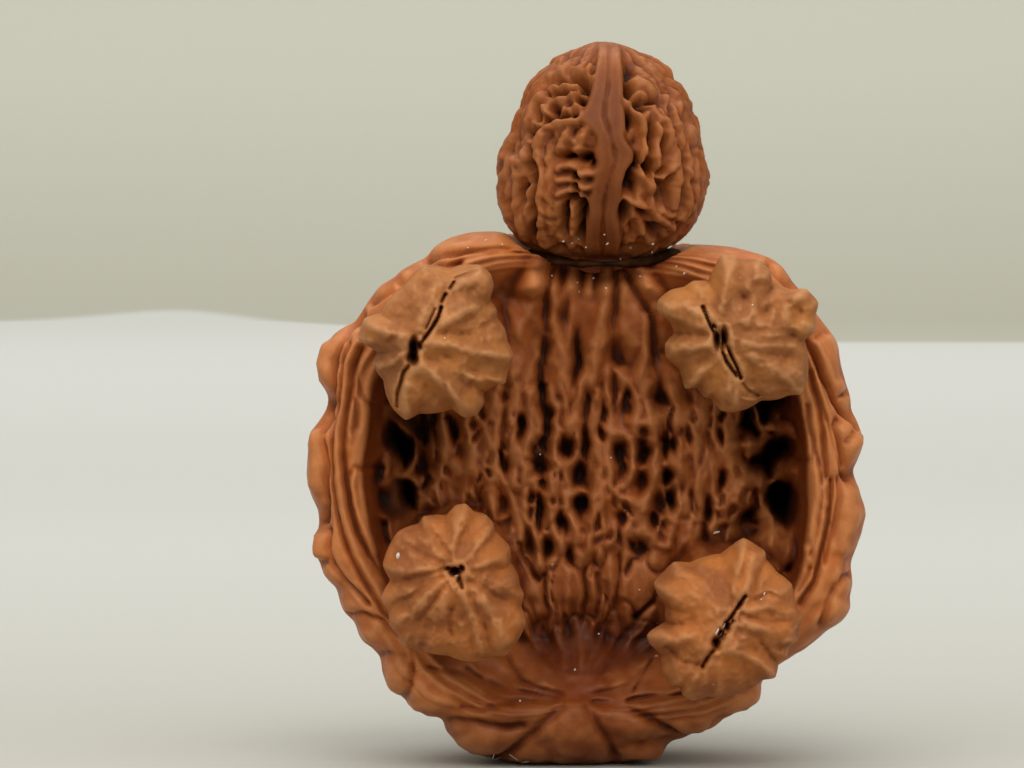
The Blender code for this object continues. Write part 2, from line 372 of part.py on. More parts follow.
# The feet: hub of the radiating ribs, depth of the front, outline, cracks, creases, holes and dimples.
FEET = {
    "foot_upper_left": {
        "hub": (417, 345), "front": -9.4, "seat": 0.6, "seed": 3, "seat_at": (436, 334),
        "outline": [
            (514, 352), (508, 338), (505, 325), (498, 315), (497, 306), (490, 297), (494, 282),
            (491, 271), (481, 262), (465, 262), (450, 266), (440, 263), (425, 263), (414, 271),
            (404, 283), (391, 295), (383, 310), (366, 315), (360, 336), (370, 342), (379, 348),
            (374, 360), (385, 376), (388, 392), (394, 404), (407, 416), (420, 409), (440, 408),
            (453, 404), (464, 413), (477, 411), (485, 398), (484, 388), (497, 380), (505, 380),
            (508, 367),
        ],
        "seam": [
            ([(478, 266), (466, 271), (456, 275)], 1.8, 0.5),
            ([(455, 278), (451, 284)], 1.6, 0.9),
            ([(447, 290), (443, 297)], 1.6, 1.0),
            ([(443, 302), (440, 312), (434, 322), (427, 331), (421, 342), (416, 352)], 1.7, 1.6),
            ([(436, 304), (432, 314), (428, 322)], 1.3, 0.6),
            ([(414, 356), (407, 366), (403, 376), (400, 388), (399, 400)], 1.9, 0.9),
        ],
        "creases": [
            ([(424, 330), (450, 326), (480, 330), (498, 326)], 4.0, 0.5),
            ([(430, 352), (460, 362), (490, 368), (506, 372)], 4.0, 0.5),
            ([(420, 372), (440, 392), (446, 402)], 5.0, 0.5),
            ([(462, 372), (478, 382), (486, 390)], 4.0, 0.6),
            ([(400, 330), (384, 338), (372, 340)], 4.0, 0.4),
            ([(452, 296), (470, 292), (490, 296)], 5.0, 0.4),
            ([(408, 320), (400, 300), (404, 288)], 5.0, 0.3),
            ([(396, 352), (386, 362), (384, 372)], 3.5, 0.4),
        ],
        "ridges": [
            ([(424, 338), (450, 338), (480, 345), (508, 351)], 6.0, 0.5),
            ([(446, 318), (470, 306), (494, 302)], 6.0, 0.5),
            ([(424, 360), (450, 384), (468, 404)], 7.0, 0.6),
            ([(406, 380), (406, 400), (408, 412)], 5.0, 0.6),
            ([(404, 330), (384, 324), (368, 320)], 6.0, 0.6),
            ([(402, 350), (390, 360), (380, 362)], 4.5, 0.5),
            ([(420, 320), (428, 300), (440, 280)], 6.0, 0.3),
            ([(470, 372), (490, 375), (504, 376)], 4.5, 0.4),
            ([(458, 282), (474, 272), (486, 268)], 6.0, 0.4),
        ],
        "holes": [(416, 343, 3.5, 9, 4.0), (415, 352, 4, 6, 3.6), (421, 340, 3, 4, 2.5)],
        "dimples": [
            (426, 281, 6, 5, 0.5), (467, 312, 11, 10, 0.6), (412, 288, 5, 8, 0.3), (486, 322, 7, 5, 0.4),
            (450, 350, 12, 5, 0.4), (478, 358, 10, 5, 0.4), (474, 284, 6, 5, 0.2),
        ],
    },
    "foot_upper_right": {
        "hub": (716, 332), "front": -9.0, "seat": 0.6, "seed": 8, "seat_at": (736, 330),
        "outline": [
            (815, 299), (812, 311), (813, 326), (801, 336), (804, 350), (804, 374), (799, 390),
            (785, 391), (775, 395), (758, 396), (745, 404), (730, 408), (718, 406), (709, 394),
            (702, 393), (694, 383), (683, 385), (680, 374), (677, 365), (664, 353), (663, 340),
            (673, 329), (668, 318), (655, 307), (656, 297), (668, 287), (682, 284), (690, 278),
            (706, 278), (712, 264), (719, 252), (731, 252), (740, 257), (756, 257), (766, 266),
            (769, 282), (777, 283), (788, 287), (802, 285), (809, 292),
        ],
        "seam": [
            ([(699, 301), (703, 313), (708, 323), (714, 334), (718, 345), (722, 355), (728, 363), (732, 369)], 1.5, 1.3),
            ([(709, 319), (715, 326), (720, 334), (724, 342), (727, 352), (732, 361), (736, 371)], 1.5, 1.5),
            ([(738, 376), (745, 385), (754, 391)], 1.5, 0.4),
        ],
        "creases": [
            ([(728, 322), (755, 324), (780, 326), (796, 330)], 4.0, 0.5),
            ([(700, 306), (696, 290), (698, 282)], 4.0, 0.4),
            ([(704, 330), (690, 328), (674, 328)], 4.0, 0.5),
            ([(704, 352), (690, 362), (682, 372)], 4.0, 0.4),
            ([(708, 372), (704, 388)], 4.0, 0.4),
            ([(742, 376), (770, 378), (796, 382)], 4.0, 0.4),
            ([(745, 262), (748, 284), (742, 300)], 4.0, 0.4),
            ([(770, 286), (776, 300), (772, 318)], 4.0, 0.4),
        ],
        "ridges": [
            ([(706, 312), (684, 300), (662, 300)], 8.0, 0.7),
            ([(704, 340), (686, 342), (668, 345)], 6.0, 0.6),
            ([(716, 300), (722, 280), (726, 260)], 7.0, 0.6),
            ([(740, 314), (770, 294), (800, 292)], 5.0, 0.5),
            ([(740, 336), (770, 340), (800, 344)], 7.0, 0.5),
            ([(730, 384), (732, 398)], 9.0, 0.4),
            ([(748, 350), (770, 362), (796, 366)], 8.0, 0.4),
            ([(712, 322), (717, 333), (722, 347), (730, 362)], 1.3, 0.9),
            ([(696, 366), (690, 376)], 5.0, 0.4),
            ([(738, 390), (752, 395), (764, 393)], 2.2, 0.4),
            ([(800, 318), (808, 322)], 4.0, 0.4),
        ],
        "holes": [(713, 333, 3.5, 8, 3.0), (719, 333, 3.5, 9, 3.4)],
        "dimples": [
            (739, 293, 5, 5, 0.9), (755, 281, 6, 6, 0.7), (762, 306, 6, 6, 0.9), (794, 307, 8, 7, 0.9),
            (784, 297, 6, 5, 0.5), (787, 330, 7, 4, 0.8), (748, 268, 8, 6, 0.4), (756, 355, 10, 7, 0.3),
            (780, 356, 8, 7, 0.3), (735, 330, 8, 6, 0.2),
        ],
    },
    "foot_lower_left": {
        "hub": (457, 563), "front": -8.6, "seat": 0.6, "seed": 5, "seat_at": (454, 578),
        "outline": [
            (524, 588), (521, 600), (526, 616), (518, 634), (508, 648), (492, 652), (467, 655),
            (449, 649), (425, 645), (404, 639), (399, 629), (391, 619), (390, 604), (382, 592),
            (386, 583), (392, 574), (384, 559), (387, 548), (392, 537), (399, 526), (412, 520),
            (420, 518), (424, 511), (447, 510), (456, 500), (466, 498), (474, 506), (486, 509),
            (494, 518), (495, 526), (503, 533), (510, 541), (511, 557), (518, 569), (520, 580),
        ],
        "seam": [([(458, 563), (461, 571), (463, 579)], 1.8, 1.0)],
        "creases": [
            ([(451, 552), (444, 536), (434, 524), (426, 514)], 3.0, 0.5),
            ([(458, 548), (462, 530), (474, 508)], 3.0, 0.4),
            ([(468, 554), (482, 540), (496, 527)], 3.0, 0.4),
            ([(474, 562), (494, 560), (512, 562)], 3.0, 0.4),
            ([(470, 572), (492, 584), (520, 600)], 3.0, 0.5),
            ([(468, 584), (478, 600), (486, 620), (492, 642)], 3.0, 0.5),
            ([(452, 600), (450, 612), (452, 626)], 2.6, 0.4),
            ([(448, 574), (434, 592), (420, 612), (412, 632)], 3.0, 0.5),
            ([(444, 568), (424, 580), (400, 594), (388, 602)], 3.0, 0.4),
            ([(444, 560), (420, 566), (394, 574)], 3.0, 0.5),
            ([(444, 552), (420, 544), (400, 530)], 3.0, 0.4),
            ([(470, 622), (474, 640)], 3.0, 0.4),
        ],
        "ridges": [
            ([(462, 582), (470, 600), (478, 622), (482, 642)], 6.0, 0.4),
            ([(478, 580), (492, 604), (506, 630)], 8.0, 0.6),
            ([(446, 584), (438, 610), (434, 634)], 7.0, 0.4),
            ([(440, 574), (420, 592), (402, 612)], 7.0, 0.5),
            ([(436, 562), (412, 560), (392, 560)], 6.0, 0.4),
            ([(440, 546), (424, 530)], 6.0, 0.4),
            ([(452, 536), (462, 508)], 6.0, 0.5),
            ([(474, 546), (492, 520)], 6.0, 0.4),
            ([(480, 556), (506, 550)], 6.0, 0.4),
            ([(484, 572), (514, 578)], 6.0, 0.4),
            ([(452, 574), (455, 580), (459, 575)], 2.0, 0.5),
        ],
        "holes": [(456, 563, 4.5, 4, 3.4), (462, 559, 2.5, 3, 2.0), (450, 560, 3, 2, 1.2), (460, 570, 2, 5, 1.4)],
        "dimples": [
            (465, 607, 10, 12, 0.5), (430, 616, 10, 12, 0.5), (424, 636, 4, 3, 0.5), (410, 602, 4, 8, 0.3),
            (500, 560, 6, 5, 0.2), (442, 640, 6, 4, 0.3), (404, 548, 6, 5, 0.3),
        ],
    },
    "foot_lower_right": {
        "hub": (719, 622), "front": -9.0, "seat": 0.6, "seed": 6, "seat_at": (724, 612),
        "outline": [
            (799, 611), (796, 624), (795, 634), (786, 641), (785, 649), (776, 655), (773, 671),
            (760, 673), (748, 683), (735, 687), (705, 690), (690, 694), (681, 689), (678, 680),
            (670, 679), (661, 666), (660, 648), (648, 637), (645, 629), (650, 624), (664, 616),
            (664, 599), (655, 587), (652, 577), (662, 566), (672, 556), (688, 557), (703, 551),
            (719, 548), (729, 540), (741, 532), (753, 539), (763, 546), (763, 553), (774, 566),
            (789, 578), (791, 590), (794, 600),
        ],
        "seam": [
            ([(742, 586), (735, 597), (729, 606), (721, 616), (714, 625), (710, 634)], 1.6, 1.6),
            ([(729, 610), (725, 618), (720, 628), (714, 636), (708, 642)], 1.5, 1.4),
            ([(709, 638), (704, 648), (700, 656)], 1.6, 1.0),
        ],
        "creases": [
            ([(724, 574), (727, 586), (729, 598)], 1.8, 0.4),
            ([(664, 638), (680, 651), (694, 653), (703, 648)], 2.4, 0.6),
            ([(752, 590), (764, 584), (780, 590)], 2.2, 0.5),
            ([(738, 604), (760, 612), (786, 612)], 2.6, 0.4),
            ([(734, 618), (752, 628), (770, 650)], 3.0, 0.5),
            ([(700, 600), (684, 614), (664, 618)], 4.0, 0.5),
            ([(708, 592), (690, 570), (688, 560)], 4.0, 0.4),
            ([(762, 550), (756, 566), (752, 580)], 3.0, 0.5),
            ([(722, 546), (722, 562)], 3.0, 0.4),
            ([(736, 640), (742, 664), (746, 682)], 4.0, 0.5),
            ([(776, 640), (786, 634), (794, 632)], 2.2, 0.4),
            ([(700, 664), (694, 680)], 4.0, 0.3),
        ],
        "ridges": [
            ([(740, 588), (744, 570), (750, 548)], 6.0, 0.6),
            ([(733, 602), (727, 614), (720, 626), (712, 642)], 2.6, 0.7),
            ([(718, 618), (713, 627), (710, 636)], 1.2, 0.9),
            ([(700, 578), (690, 568)], 8.0, 0.3),
            ([(690, 590), (666, 582)], 9.0, 0.4),
            ([(694, 634), (664, 630)], 8.0, 0.5),
            ([(690, 662), (678, 670)], 8.0, 0.3),
            ([(742, 600), (766, 598), (788, 602)], 6.0, 0.4),
            ([(740, 612), (770, 622), (792, 620)], 6.0, 0.4),
            ([(730, 640), (752, 650), (770, 664)], 6.0, 0.5),
            ([(716, 660), (716, 684)], 9.0, 0.4),
            ([(734, 562), (740, 542)], 6.0, 0.4),
        ],
        "holes": [(713, 632, 4, 6, 3.0), (723, 617, 3, 5, 2.6), (717, 624, 3.5, 5, 2.4)],
        "dimples": [
            (760, 602, 8, 4, 0.3), (752, 640, 10, 6, 0.4), (700, 612, 8, 6, 0.2), (684, 600, 8, 6, 0.2),
            (770, 574, 6, 5, 0.3), (712, 556, 6, 4, 0.3),
        ],
    },
}


def to_x(u):
    return (np.asarray(u, float) - SKETCH_X) / SKETCH


def to_z(v):
    return (SKETCH_Z - np.asarray(v, float)) / SKETCH


def smooth(low, high, value):
    t = np.clip((value - low) / (high - low), 0.0, 1.0)
    return t * t * (3.0 - 2.0 * t)


def bell(angle, middle, width):
    turn = (angle - middle + 180.0) % 360.0 - 180.0
    return np.exp(-((turn / width) ** 2))


def chance(a, b, c, seed):
    n = (a * 73856093) ^ (b * 19349663) ^ (c * 83492791) ^ (seed * 40503021)
    n = n & 0xFFFFFFFF
    n = ((n ^ (n >> 13)) * 1274126177) & 0xFFFFFFFF
    n = ((n ^ (n >> 15)) * 668265263) & 0xFFFFFFFF
    return ((n ^ (n >> 16)) & 0xFFFF) / 65535.0


def noise(x, y, z, seed):
    cell = [np.floor(c).astype(np.int64) for c in (x, y, z)]
    part = [c - i for c, i in zip((x, y, z), cell)]
    part = [f * f * (3.0 - 2.0 * f) for f in part]
    total = np.zeros_like(part[0])
    for corner in range(8):
        step = (corner & 1, corner >> 1 & 1, corner >> 2 & 1)
        weight = np.ones_like(total)
        for f, s in zip(part, step):
            weight = weight * (f if s else 1.0 - f)
        total += weight * chance(cell[0] + step[0], cell[1] + step[1], cell[2] + step[2], seed)
    return 2.0 * total - 1.0


def cells(u, v, seed, wrap=0):
    """Distances to the two nearest points of a jittered grid, and a draw for the nearest."""
    iu = np.floor(u).astype(np.int64)
    iv = np.floor(v).astype(np.int64)
    first = np.full(u.shape, 9.0)
    second = np.full(u.shape, 9.0)
    draw = np.zeros(u.shape)
    for du in (-1, 0, 1):
        for dv in (-1, 0, 1):
            cu = iu + du
            cv = iv + dv
            key = cu % wrap if wrap else cu
            pu = cu + 0.5 + 0.85 * (chance(key, cv, 1, seed) - 0.5)
            pv = cv + 0.5 + 0.85 * (chance(key, cv, 2, seed) - 0.5)
            far = np.hypot(u - pu, v - pv)
            near = far < first
            second = np.where(near, first, np.minimum(second, far))
            draw = np.where(near, chance(key, cv, 3, seed), draw)
            first = np.where(near, far, first)
    return first, second, draw


def to_line(x, z, points):
    """Distance in sketch units to a line drawn through sketch points, fading past its ends."""
    best = np.full(x.shape, 1e3)
    px = to_x([p[0] for p in points])
    pz = to_z([p[1] for p in points])
    for i in range(len(points) - 1):
        ex = px[i + 1] - px[i]
        ez = pz[i + 1] - pz[i]
        t = np.clip(((x - px[i]) * ex + (z - pz[i]) * ez) / (ex * ex + ez * ez), 0.0, 1.0)
        best = np.minimum(best, np.hypot(x - px[i] - t * ex, z - pz[i] - t * ez))
    return best * SKETCH


def raised(x, z, strokes, power=2.0):
    """Highest of the rounded ridges drawn by the strokes."""
    top = np.zeros(x.shape)
    for points, half, height in strokes:
        top = np.maximum(top, height * np.exp(-((to_line(x, z, points) / half) ** power)))
    return top


def blobs(x, z, rows, power=2.0):
    """Deepest of the oval hollows (or highest of the oval swellings) in rows."""
    top = np.zeros(x.shape)
    for u, v, half_u, half_v, height in rows:
        d = np.hypot((x - to_x(u)) * SKETCH / half_u, (z - to_z(v)) * SKETCH / half_v)
        bump = height * np.exp(-(d ** (2.0 * power)) * 0.7)
        top = np.where(np.abs(bump) > np.abs(top), bump, top)
    return top


def caves(x, z, rows):
    """Depth of the caves whose rims are given; their walls fall away over the given slope."""
    deep = np.zeros(x.shape)
    for rim, depth, slope in rows:
        px = to_x([p[0] for p in rim])
        pz = to_z([p[1] for p in rim])
        inside = np.zeros(x.shape, bool)
        for i in range(len(rim)):
            rise = pz[i - 1] - pz[i]
            at = px[i] + (z - pz[i]) * (px[i - 1] - px[i]) / (rise if rise else 1e-9)
            inside ^= ((pz[i] > z) != (pz[i - 1] > z)) & (x < at)
        edge = to_line(x, z, rim + rim[:1])
        deep = np.maximum(deep, depth * smooth(-1.5, slope, np.where(inside, edge, -edge)))
    return deep


def packed(x, z, rows):
    """Swellings packed side by side: how far from the middle, and how near to a neighbour."""
    first = np.full(x.shape, 9.0)
    second = np.full(x.shape, 9.0)
    for u, v, half_u, half_v in rows:
        far = np.hypot((x - to_x(u)) * SKETCH / half_u, (z - to_z(v)) * SKETCH / half_v)
        second = np.where(far < first, first, np.minimum(second, far))
        first = np.minimum(first, far)
    return first, second - first


def wander(x, z, amount, seed):
    """Lets drawn lines and rims waver a little, as grown ones do."""
    still = x * 0.0
    along = amount * noise(x / 1.3, z / 1.9, still, seed) + 0.4 * amount * noise(x / 0.5, z / 0.7, still, seed + 1)
    up = amount * noise(x / 1.3, z / 1.9, still, seed + 2) + 0.4 * amount * noise(x / 0.5, z / 0.7, still, seed + 3)
    return x + along, z + up


def ring(points, middle, blur):
    """Radius in millimetres as a function of the angle in degrees, rounded by blur degrees."""
    du = np.array([p[0] - middle[0] for p in points], float)
    dv = np.array([middle[1] - p[1] for p in points], float)
    angle = np.degrees(np.arctan2(dv, du)) % 360.0
    order = np.argsort(angle)
    grid = np.arange(0.0, 360.0, 0.5)
    radius = np.interp(grid, angle[order], (np.hypot(du, dv) / SKETCH)[order], period=360.0)
    reach = int(max(1, blur * 8))
    taps = np.arange(-reach, reach + 1)
    weight = np.exp(-((taps * 0.5 / max(blur, 0.01)) ** 2))
    weight /= weight.sum()
    soft = sum(w * np.roll(radius, t) for t, w in zip(taps, weight))
    return lambda a: np.interp(a % 360.0, grid, soft, period=360.0)


BODY_RIM = ring(BODY_OUTLINE, BODY_MIDDLE, 1.0)
BODY_RIM_SOFT = ring(BODY_OUTLINE, BODY_MIDDLE, 9.0)
BODY_RIM_LOBES = ring(BODY_OUTLINE, BODY_MIDDLE, 5.0)
BODY_RIM_MEAN = 24.0


def foot_seats(x, z):
    """How much each point belongs to the flat seat of a foot, and that seat's depth."""
    share = np.zeros(x.shape)
    depth = np.zeros(x.shape)
    for foot in FEET.values():
        far = np.hypot(x - to_x(foot["seat_at"][0]), z - to_z(foot["seat_at"][1]))
        own = 1.0 - smooth(FOOT_SEAT_RADIUS + 0.5, FOOT_SEAT_RADIUS + 1.5, far)
        depth = np.where(own > share, foot["seat"], depth)
        share = np.maximum(share, own)
    return share, depth


def belly_depth(x, z, angle, inward):
    """Depth behind the flange of the recessed belly; inward is the way in from the lip."""
    middle = np.interp(z, [6, 12, 20, 30, 40, 46], to_x([574, 578, 585, 597, 602, 604]))
    width = np.interp(z, [5, 9, 12, 15, 20, 28, 38, 44, 47], [3.0, 6.0, 9.0, 12.0, 13.4, 14.2, 13.2, 12.0, 11.0])
    centre = np.interp(z, [5, 8, 11, 14, 20, 30, 38, 43, 47], [1.5, 5.2, 6.6, 5.8, 4.6, 3.8, 3.2, 2.6, 2.4])
    across = np.abs(x - middle) / width
    gutter = np.interp(z, [8, 14, 19, 33, 40, 46], [0.5, 1.5, 4.0, 4.0, 2.5, 1.5])
    mound = np.minimum(centre + gutter * across ** 3, 9.0)
    side = np.cos(np.radians(angle))
    slope = 0.95 + np.where(side > 0, 2.4, 0.9) * np.abs(side) ** 1.5
    wall = 0.45 + slope * np.maximum(inward, 0.0)
    blend = 0.9
    mix = np.clip(0.5 + 0.5 * (wall - mound) / blend, 0.0, 1.0)
    return wall + (mound - wall) * mix - blend * mix * (1.0 - mix), mix


def belly_relief(x, z, share):
    """Outward relief of the belly: net of plump strands and pits above, packed scales below."""
    scale_zone = 1.0 - smooth(to_z(568), to_z(546), z)
    calm = smooth(to_z(684), to_z(648), z)
    upper_calm = 1.0 - 0.8 * smooth(to_z(400), to_z(330), z)
    middle = np.interp(z, [6, 20, 46], [-0.5, 0.5, 2.1])
    spread = np.interp(z, [8, 15, 28, 46], [0.45, 0.75, 1.0, 0.8])
    u = (x - middle) / (1.5 * spread) + 0.35 * noise(x / 3.0, z / 5.0, x * 0.0, 21)
    v = z / 3.2 + 0.4 * noise(x / 2.0, z / 4.0, x * 0.0 + 3.0, 22)
    first, second, draw = cells(u, v, 31)
    net = smooth(0.0, 0.55, second - first)
    ribs = raised(x, z, BELLY_RIBS, 2.6)
    webs = raised(x, z, BELLY_WEBS, 2.6)
    ribs = np.log(np.exp(4.0 * ribs) + np.exp(4.0 * webs) - 1.0) / 4.0
    fine = 0.2 * noise(x / 0.8, z / 1.5, x * 0.0, 23) + 0.09 * noise(x / 0.35, z / 0.6, x * 0.0, 24)
    swell = 0.85 + 0.3 * noise(x / 1.4, z / 2.6, x * 0.0, 25)
    upper = ribs * swell - 0.35 * net * draw * upper_calm + fine * (0.5 + 0.5 * upper_calm)
    far, between = packed(x, z, BELLY_SCALES)
    streak = noise(x / 0.5, z / 2.2, x * 0.0, 26)
    scales = 0.42 * smooth(0.0, 0.36, between) * (1.0 - smooth(1.1, 1.8, far)) - 0.2
    scales = scales + 0.4 * np.clip(1.0 - far, 0.0, 1.0) + 0.12 * streak + fine * 0.4
    small_u = x / 0.95 + 0.35 * noise(x / 1.6, z / 2.4, x * 0.0, 32)
    small_v = z / 1.9 + 0.4 * noise(x / 1.2, z / 2.0, x * 0.0, 33)
    first, second, draw = cells(small_u, small_v, 34)
    middle_net = smooth(to_z(575), to_z(535), z) * (1.0 - smooth(to_z(420), to_z(370), z))
    upper = upper - 0.75 * middle_net * smooth(0.1, 0.65, second - first) * smooth(0.25, 0.9, draw)
    scales = scales * smooth(to_z(672), to_z(618), z)
    relief = upper * (1.0 - scale_zone) + scales * scale_zone
    uneven = 0.8 + 0.35 * noise(x / 0.9, z / 1.3, x * 0.0, 27)
    pits = blobs(x, z, BELLY_PITS, 1.4) * uneven
    relief = relief - np.maximum(pits, raised(x, z, BELLY_SLITS) * (0.6 + 0.6 * uneven - 0.35))
    rays = np.arctan2(x - to_x(573), z - to_z(706)) * 12.0
    reach = np.hypot(x - to_x(573), z - to_z(706))
    funnel = smooth(2.0, 4.5, reach) * (1.0 - smooth(8.5, 12.0, reach)) * share
    fan = noise(rays, reach / 4.0, rays * 0.0, 35) + 0.4 * noise(rays * 2.3, reach / 3.0, rays * 0.0, 36)
    return relief * share * calm + 0.4 * fan * funnel


def gutter_relief(x, z):
    """Knobs, webs, pockets and deep caves between the belly and the flange."""
    hollows = np.maximum(caves(x, z, GUTTER_CAVES), blobs(x, z, WALL_POCKETS, 1.2))
    return blobs(x, z, GUTTER_KNOBS, 1.2) * 0.8 + 0.15 * noise(x / 0.9, z / 1.1, x * 0.0, 28) - hollows


def carapace_relief(x, y, z):
    """Deep wavy ridges of the carapace, running from the base up over the back."""
    turn = np.arctan2(x - 0.7, y - 4.0)
    wave = noise(x / 6.0, y / 6.0, z / 6.0, 41)
    fine = noise(x / 2.6, y / 2.6, z / 2.6, 42)
    u = turn * 4.4 + 0.75 * wave + 0.1 * fine
    v = z / 9.5 + 0.5 * noise(x / 5.0, y / 5.0, z / 7.0, 43)
    first, second, draw = cells(u, v, 44)
    crease = 1.0 - smooth(0.0, 0.42, second - first)
    return 1.15 * (0.6 - crease) + 0.35 * (draw - 0.5)


def star_relief(x, z):
    grooves = raised(x, z, STAR_GROOVES) * (0.75 + 0.3 * noise(x / 1.6, z / 1.6, x * 0.0, 29))
    return blobs(x, z, STAR_LOBES, 1.0) * 0.9 - 0.85 * grooves + 0.12 * noise(x / 1.1, z / 0.8, x * 0.0, 30)


def body_points(way):
    """Places the unit directions of a sphere, front pole at -Y, on the body's surface."""
    polar = np.arccos(np.clip(-way[:, 1], -1.0, 1.0))
    turn = np.arctan2(way[:, 2], way[:, 0])
    angle = np.degrees(turn) % 360.0
    rim = BODY_RIM(angle)
    soft = BODY_RIM_SOFT(angle)
    base = bell(angle, 266.5, 22.0)
    top = bell(angle, 88.0, 38.0)
    crest = soft - CREST_IN - CREST_IN_BASE * base + 1.5 * top
    crest_y = 1.6 * bell(angle, 88.0, 30.0)
    rim_y = RIM_DEPTH + RIM_DEPTH_BASE * bell(angle, 270.0, 38.0) + 1.2 * top

    inner = polar < CREST_ANGLE
    outer = polar > RIM_ANGLE
    share_in = np.sqrt((1.0 - np.cos(polar)) / (1.0 - math.cos(CREST_ANGLE)))
    a = np.clip((polar - CREST_ANGLE) / (RIM_ANGLE - CREST_ANGLE), 0.0, 1.0) * math.pi / 2
    b = np.clip((polar - RIM_ANGLE) / (math.pi - RIM_ANGLE), 0.0, 1.0) * math.pi / 2
    back_rim = rim + (BODY_RIM_MEAN - rim) * smooth(0.0, 1.1, b)
    radius = np.where(inner, crest * share_in, crest + (rim - crest) * np.sin(a))
    radius = np.where(outer, back_rim * np.cos(b) ** 0.92, radius)
    cos_t = np.cos(turn)
    sin_t = np.sin(turn)
    middle_x = to_x(BODY_MIDDLE[0])
    middle_z = to_z(BODY_MIDDLE[1])
    x = middle_x + radius * cos_t
    z = middle_z + radius * sin_t

    # Base depth: recessed belly, quarter round of the flange, dome of the carapace.
    cord = CORD_STEP * (1.0 - 0.8 * bell(angle, 266.5, 30.0)) * (1.0 - 0.55 * top)
    lip = crest - 1.4 * cord
    depth, mound = belly_depth(x, z, angle, lip - radius)
    seam_in = smooth(-0.1, 0.6, lip - radius)
    front_y = crest_y + depth * seam_in + 0.25 * (1.0 - seam_in)
    front_y = np.where(radius > lip, crest_y + 0.25 * smooth(0.0, 1.0, (crest - radius) / (1.4 * cord)), front_y)
    y = np.where(inner, front_y, crest_y + (rim_y - crest_y) * (1.0 - np.cos(a)))
    y = np.where(outer, rim_y + (BACK_DEPTH - rim_y) * np.sin(b), y)

    # Cords that follow the flange and run together at the base star, lobes outside them.
    wobble = 0.4 * noise(x / 6.0, y / 8.0, z / 6.0, 11) + 0.15 * noise(x / 2.2, y / 5.0, z / 2.2, 12)
    off = (radius - crest) / cord + wobble
    band = smooth(-1.9, -1.4, off) * (1.0 - smooth(1.2, 1.7, off)) * (a < 1.6)
    swell = 0.8 + 0.4 * noise(x / 4.0, y / 8.0, z / 4.0, 13)
    drawn = np.clip(bell(angle, 180.0, 62.0) + bell(angle, 0.0, 62.0), 0.0, 1.0)
    relief = band * np.cos(2.0 * math.pi * off) * CORD_HEIGHT * swell * (1.0 - 0.75 * bell(angle, 266.5, 34.0))
    relief *= 1.0 - 0.85 * drawn
    front_x, front_z = wander(x, z, 0.1, 71)
    facing = np.where(outer, 0.0, 1.0) * (1.0 - smooth(1.25, 1.55, a))
    relief += facing * (raised(front_x, front_z, FLANGE_CORDS) - raised(front_x, front_z, FLANGE_CREASES))
    relief += facing * 0.1 * noise(x / 0.9, y / 0.9, z / 0.9, 14)
    lobes = (rim - BODY_RIM_LOBES(angle)) * (1.0 - bell(angle, 266.5, 40.0))
    relief += 0.9 * lobes * smooth(0.25, 0.7, a) * (1.0 - smooth(0.9, 1.5, a))

    # Belly, gutters and star, all in the front view.
    in_belly = smooth(0.6, 1.8, lip - radius)
    front = np.where(outer, 0.0, 1.0)
    neck = blobs(x, z, NECK_HOLLOW, 1.6)
    relief = relief * (1.0 - 0.8 * np.clip(neck / 2.0, 0.0, 1.0)) - front * neck
    relief += front * raised(x, z, NECK_FOLDS, 2.6) * smooth(to_z(304), to_z(284), z)
    belly_x, belly_z = wander(x, z, 0.2, 75)
    relief += inner * belly_relief(belly_x, belly_z, in_belly * (0.25 + 0.75 * mound))
    relief += inner * in_belly * gutter_relief(belly_x, belly_z)
    low = smooth(to_z(640), to_z(668), z)
    relief += front * star_relief(front_x, front_z) * low * (1.0 - smooth(1.1, 1.5, a))

    # Carapace, growing in behind the silhouette.
    back = smooth(0.02, 0.32, b)
    fan = 1.0 - 0.6 * (1.0 - smooth(3.0, 9.0, z))
    relief += outer * back * carapace_relief(x, y, z) * fan

    # Seats of the feet.
    share, seat = foot_seats(x, z)
    share = share * (1.0 - smooth(0.5, 1.1, a)) * front
    y = np.where(share > 0, y + (seat - y) * share, y)
    relief = relief * (1.0 - share)

    normal_x = np.where(inner, 0.0, np.where(outer, np.cos(b), np.sin(a))) * cos_t
    normal_z = np.where(inner, 0.0, np.where(outer, np.cos(b), np.sin(a))) * sin_t
    normal_y = np.where(inner, -1.0, np.where(outer, np.sin(b), -np.cos(a)))
    x = x + relief * normal_x
    y = y + relief * normal_y
    z = z + relief * normal_z

    # Pocket for the head, and the flat resting spot.
    far = np.hypot(x - to_x(HEAD_MIDDLE[0]), y - HEAD_Y)
    pocket = HEAD_SEAT_Z - SEAT_GAP + np.interp(far, [4.8, 6.0, 7.0, 8.0, 9.2, 30.0], [0.0, 0.1, 0.6, 1.6, 3.6, 60.0])
    z = np.where(z > pocket, pocket, z)
    z = np.maximum(z, 0.0)
    return np.stack([x, y, z], axis=1)


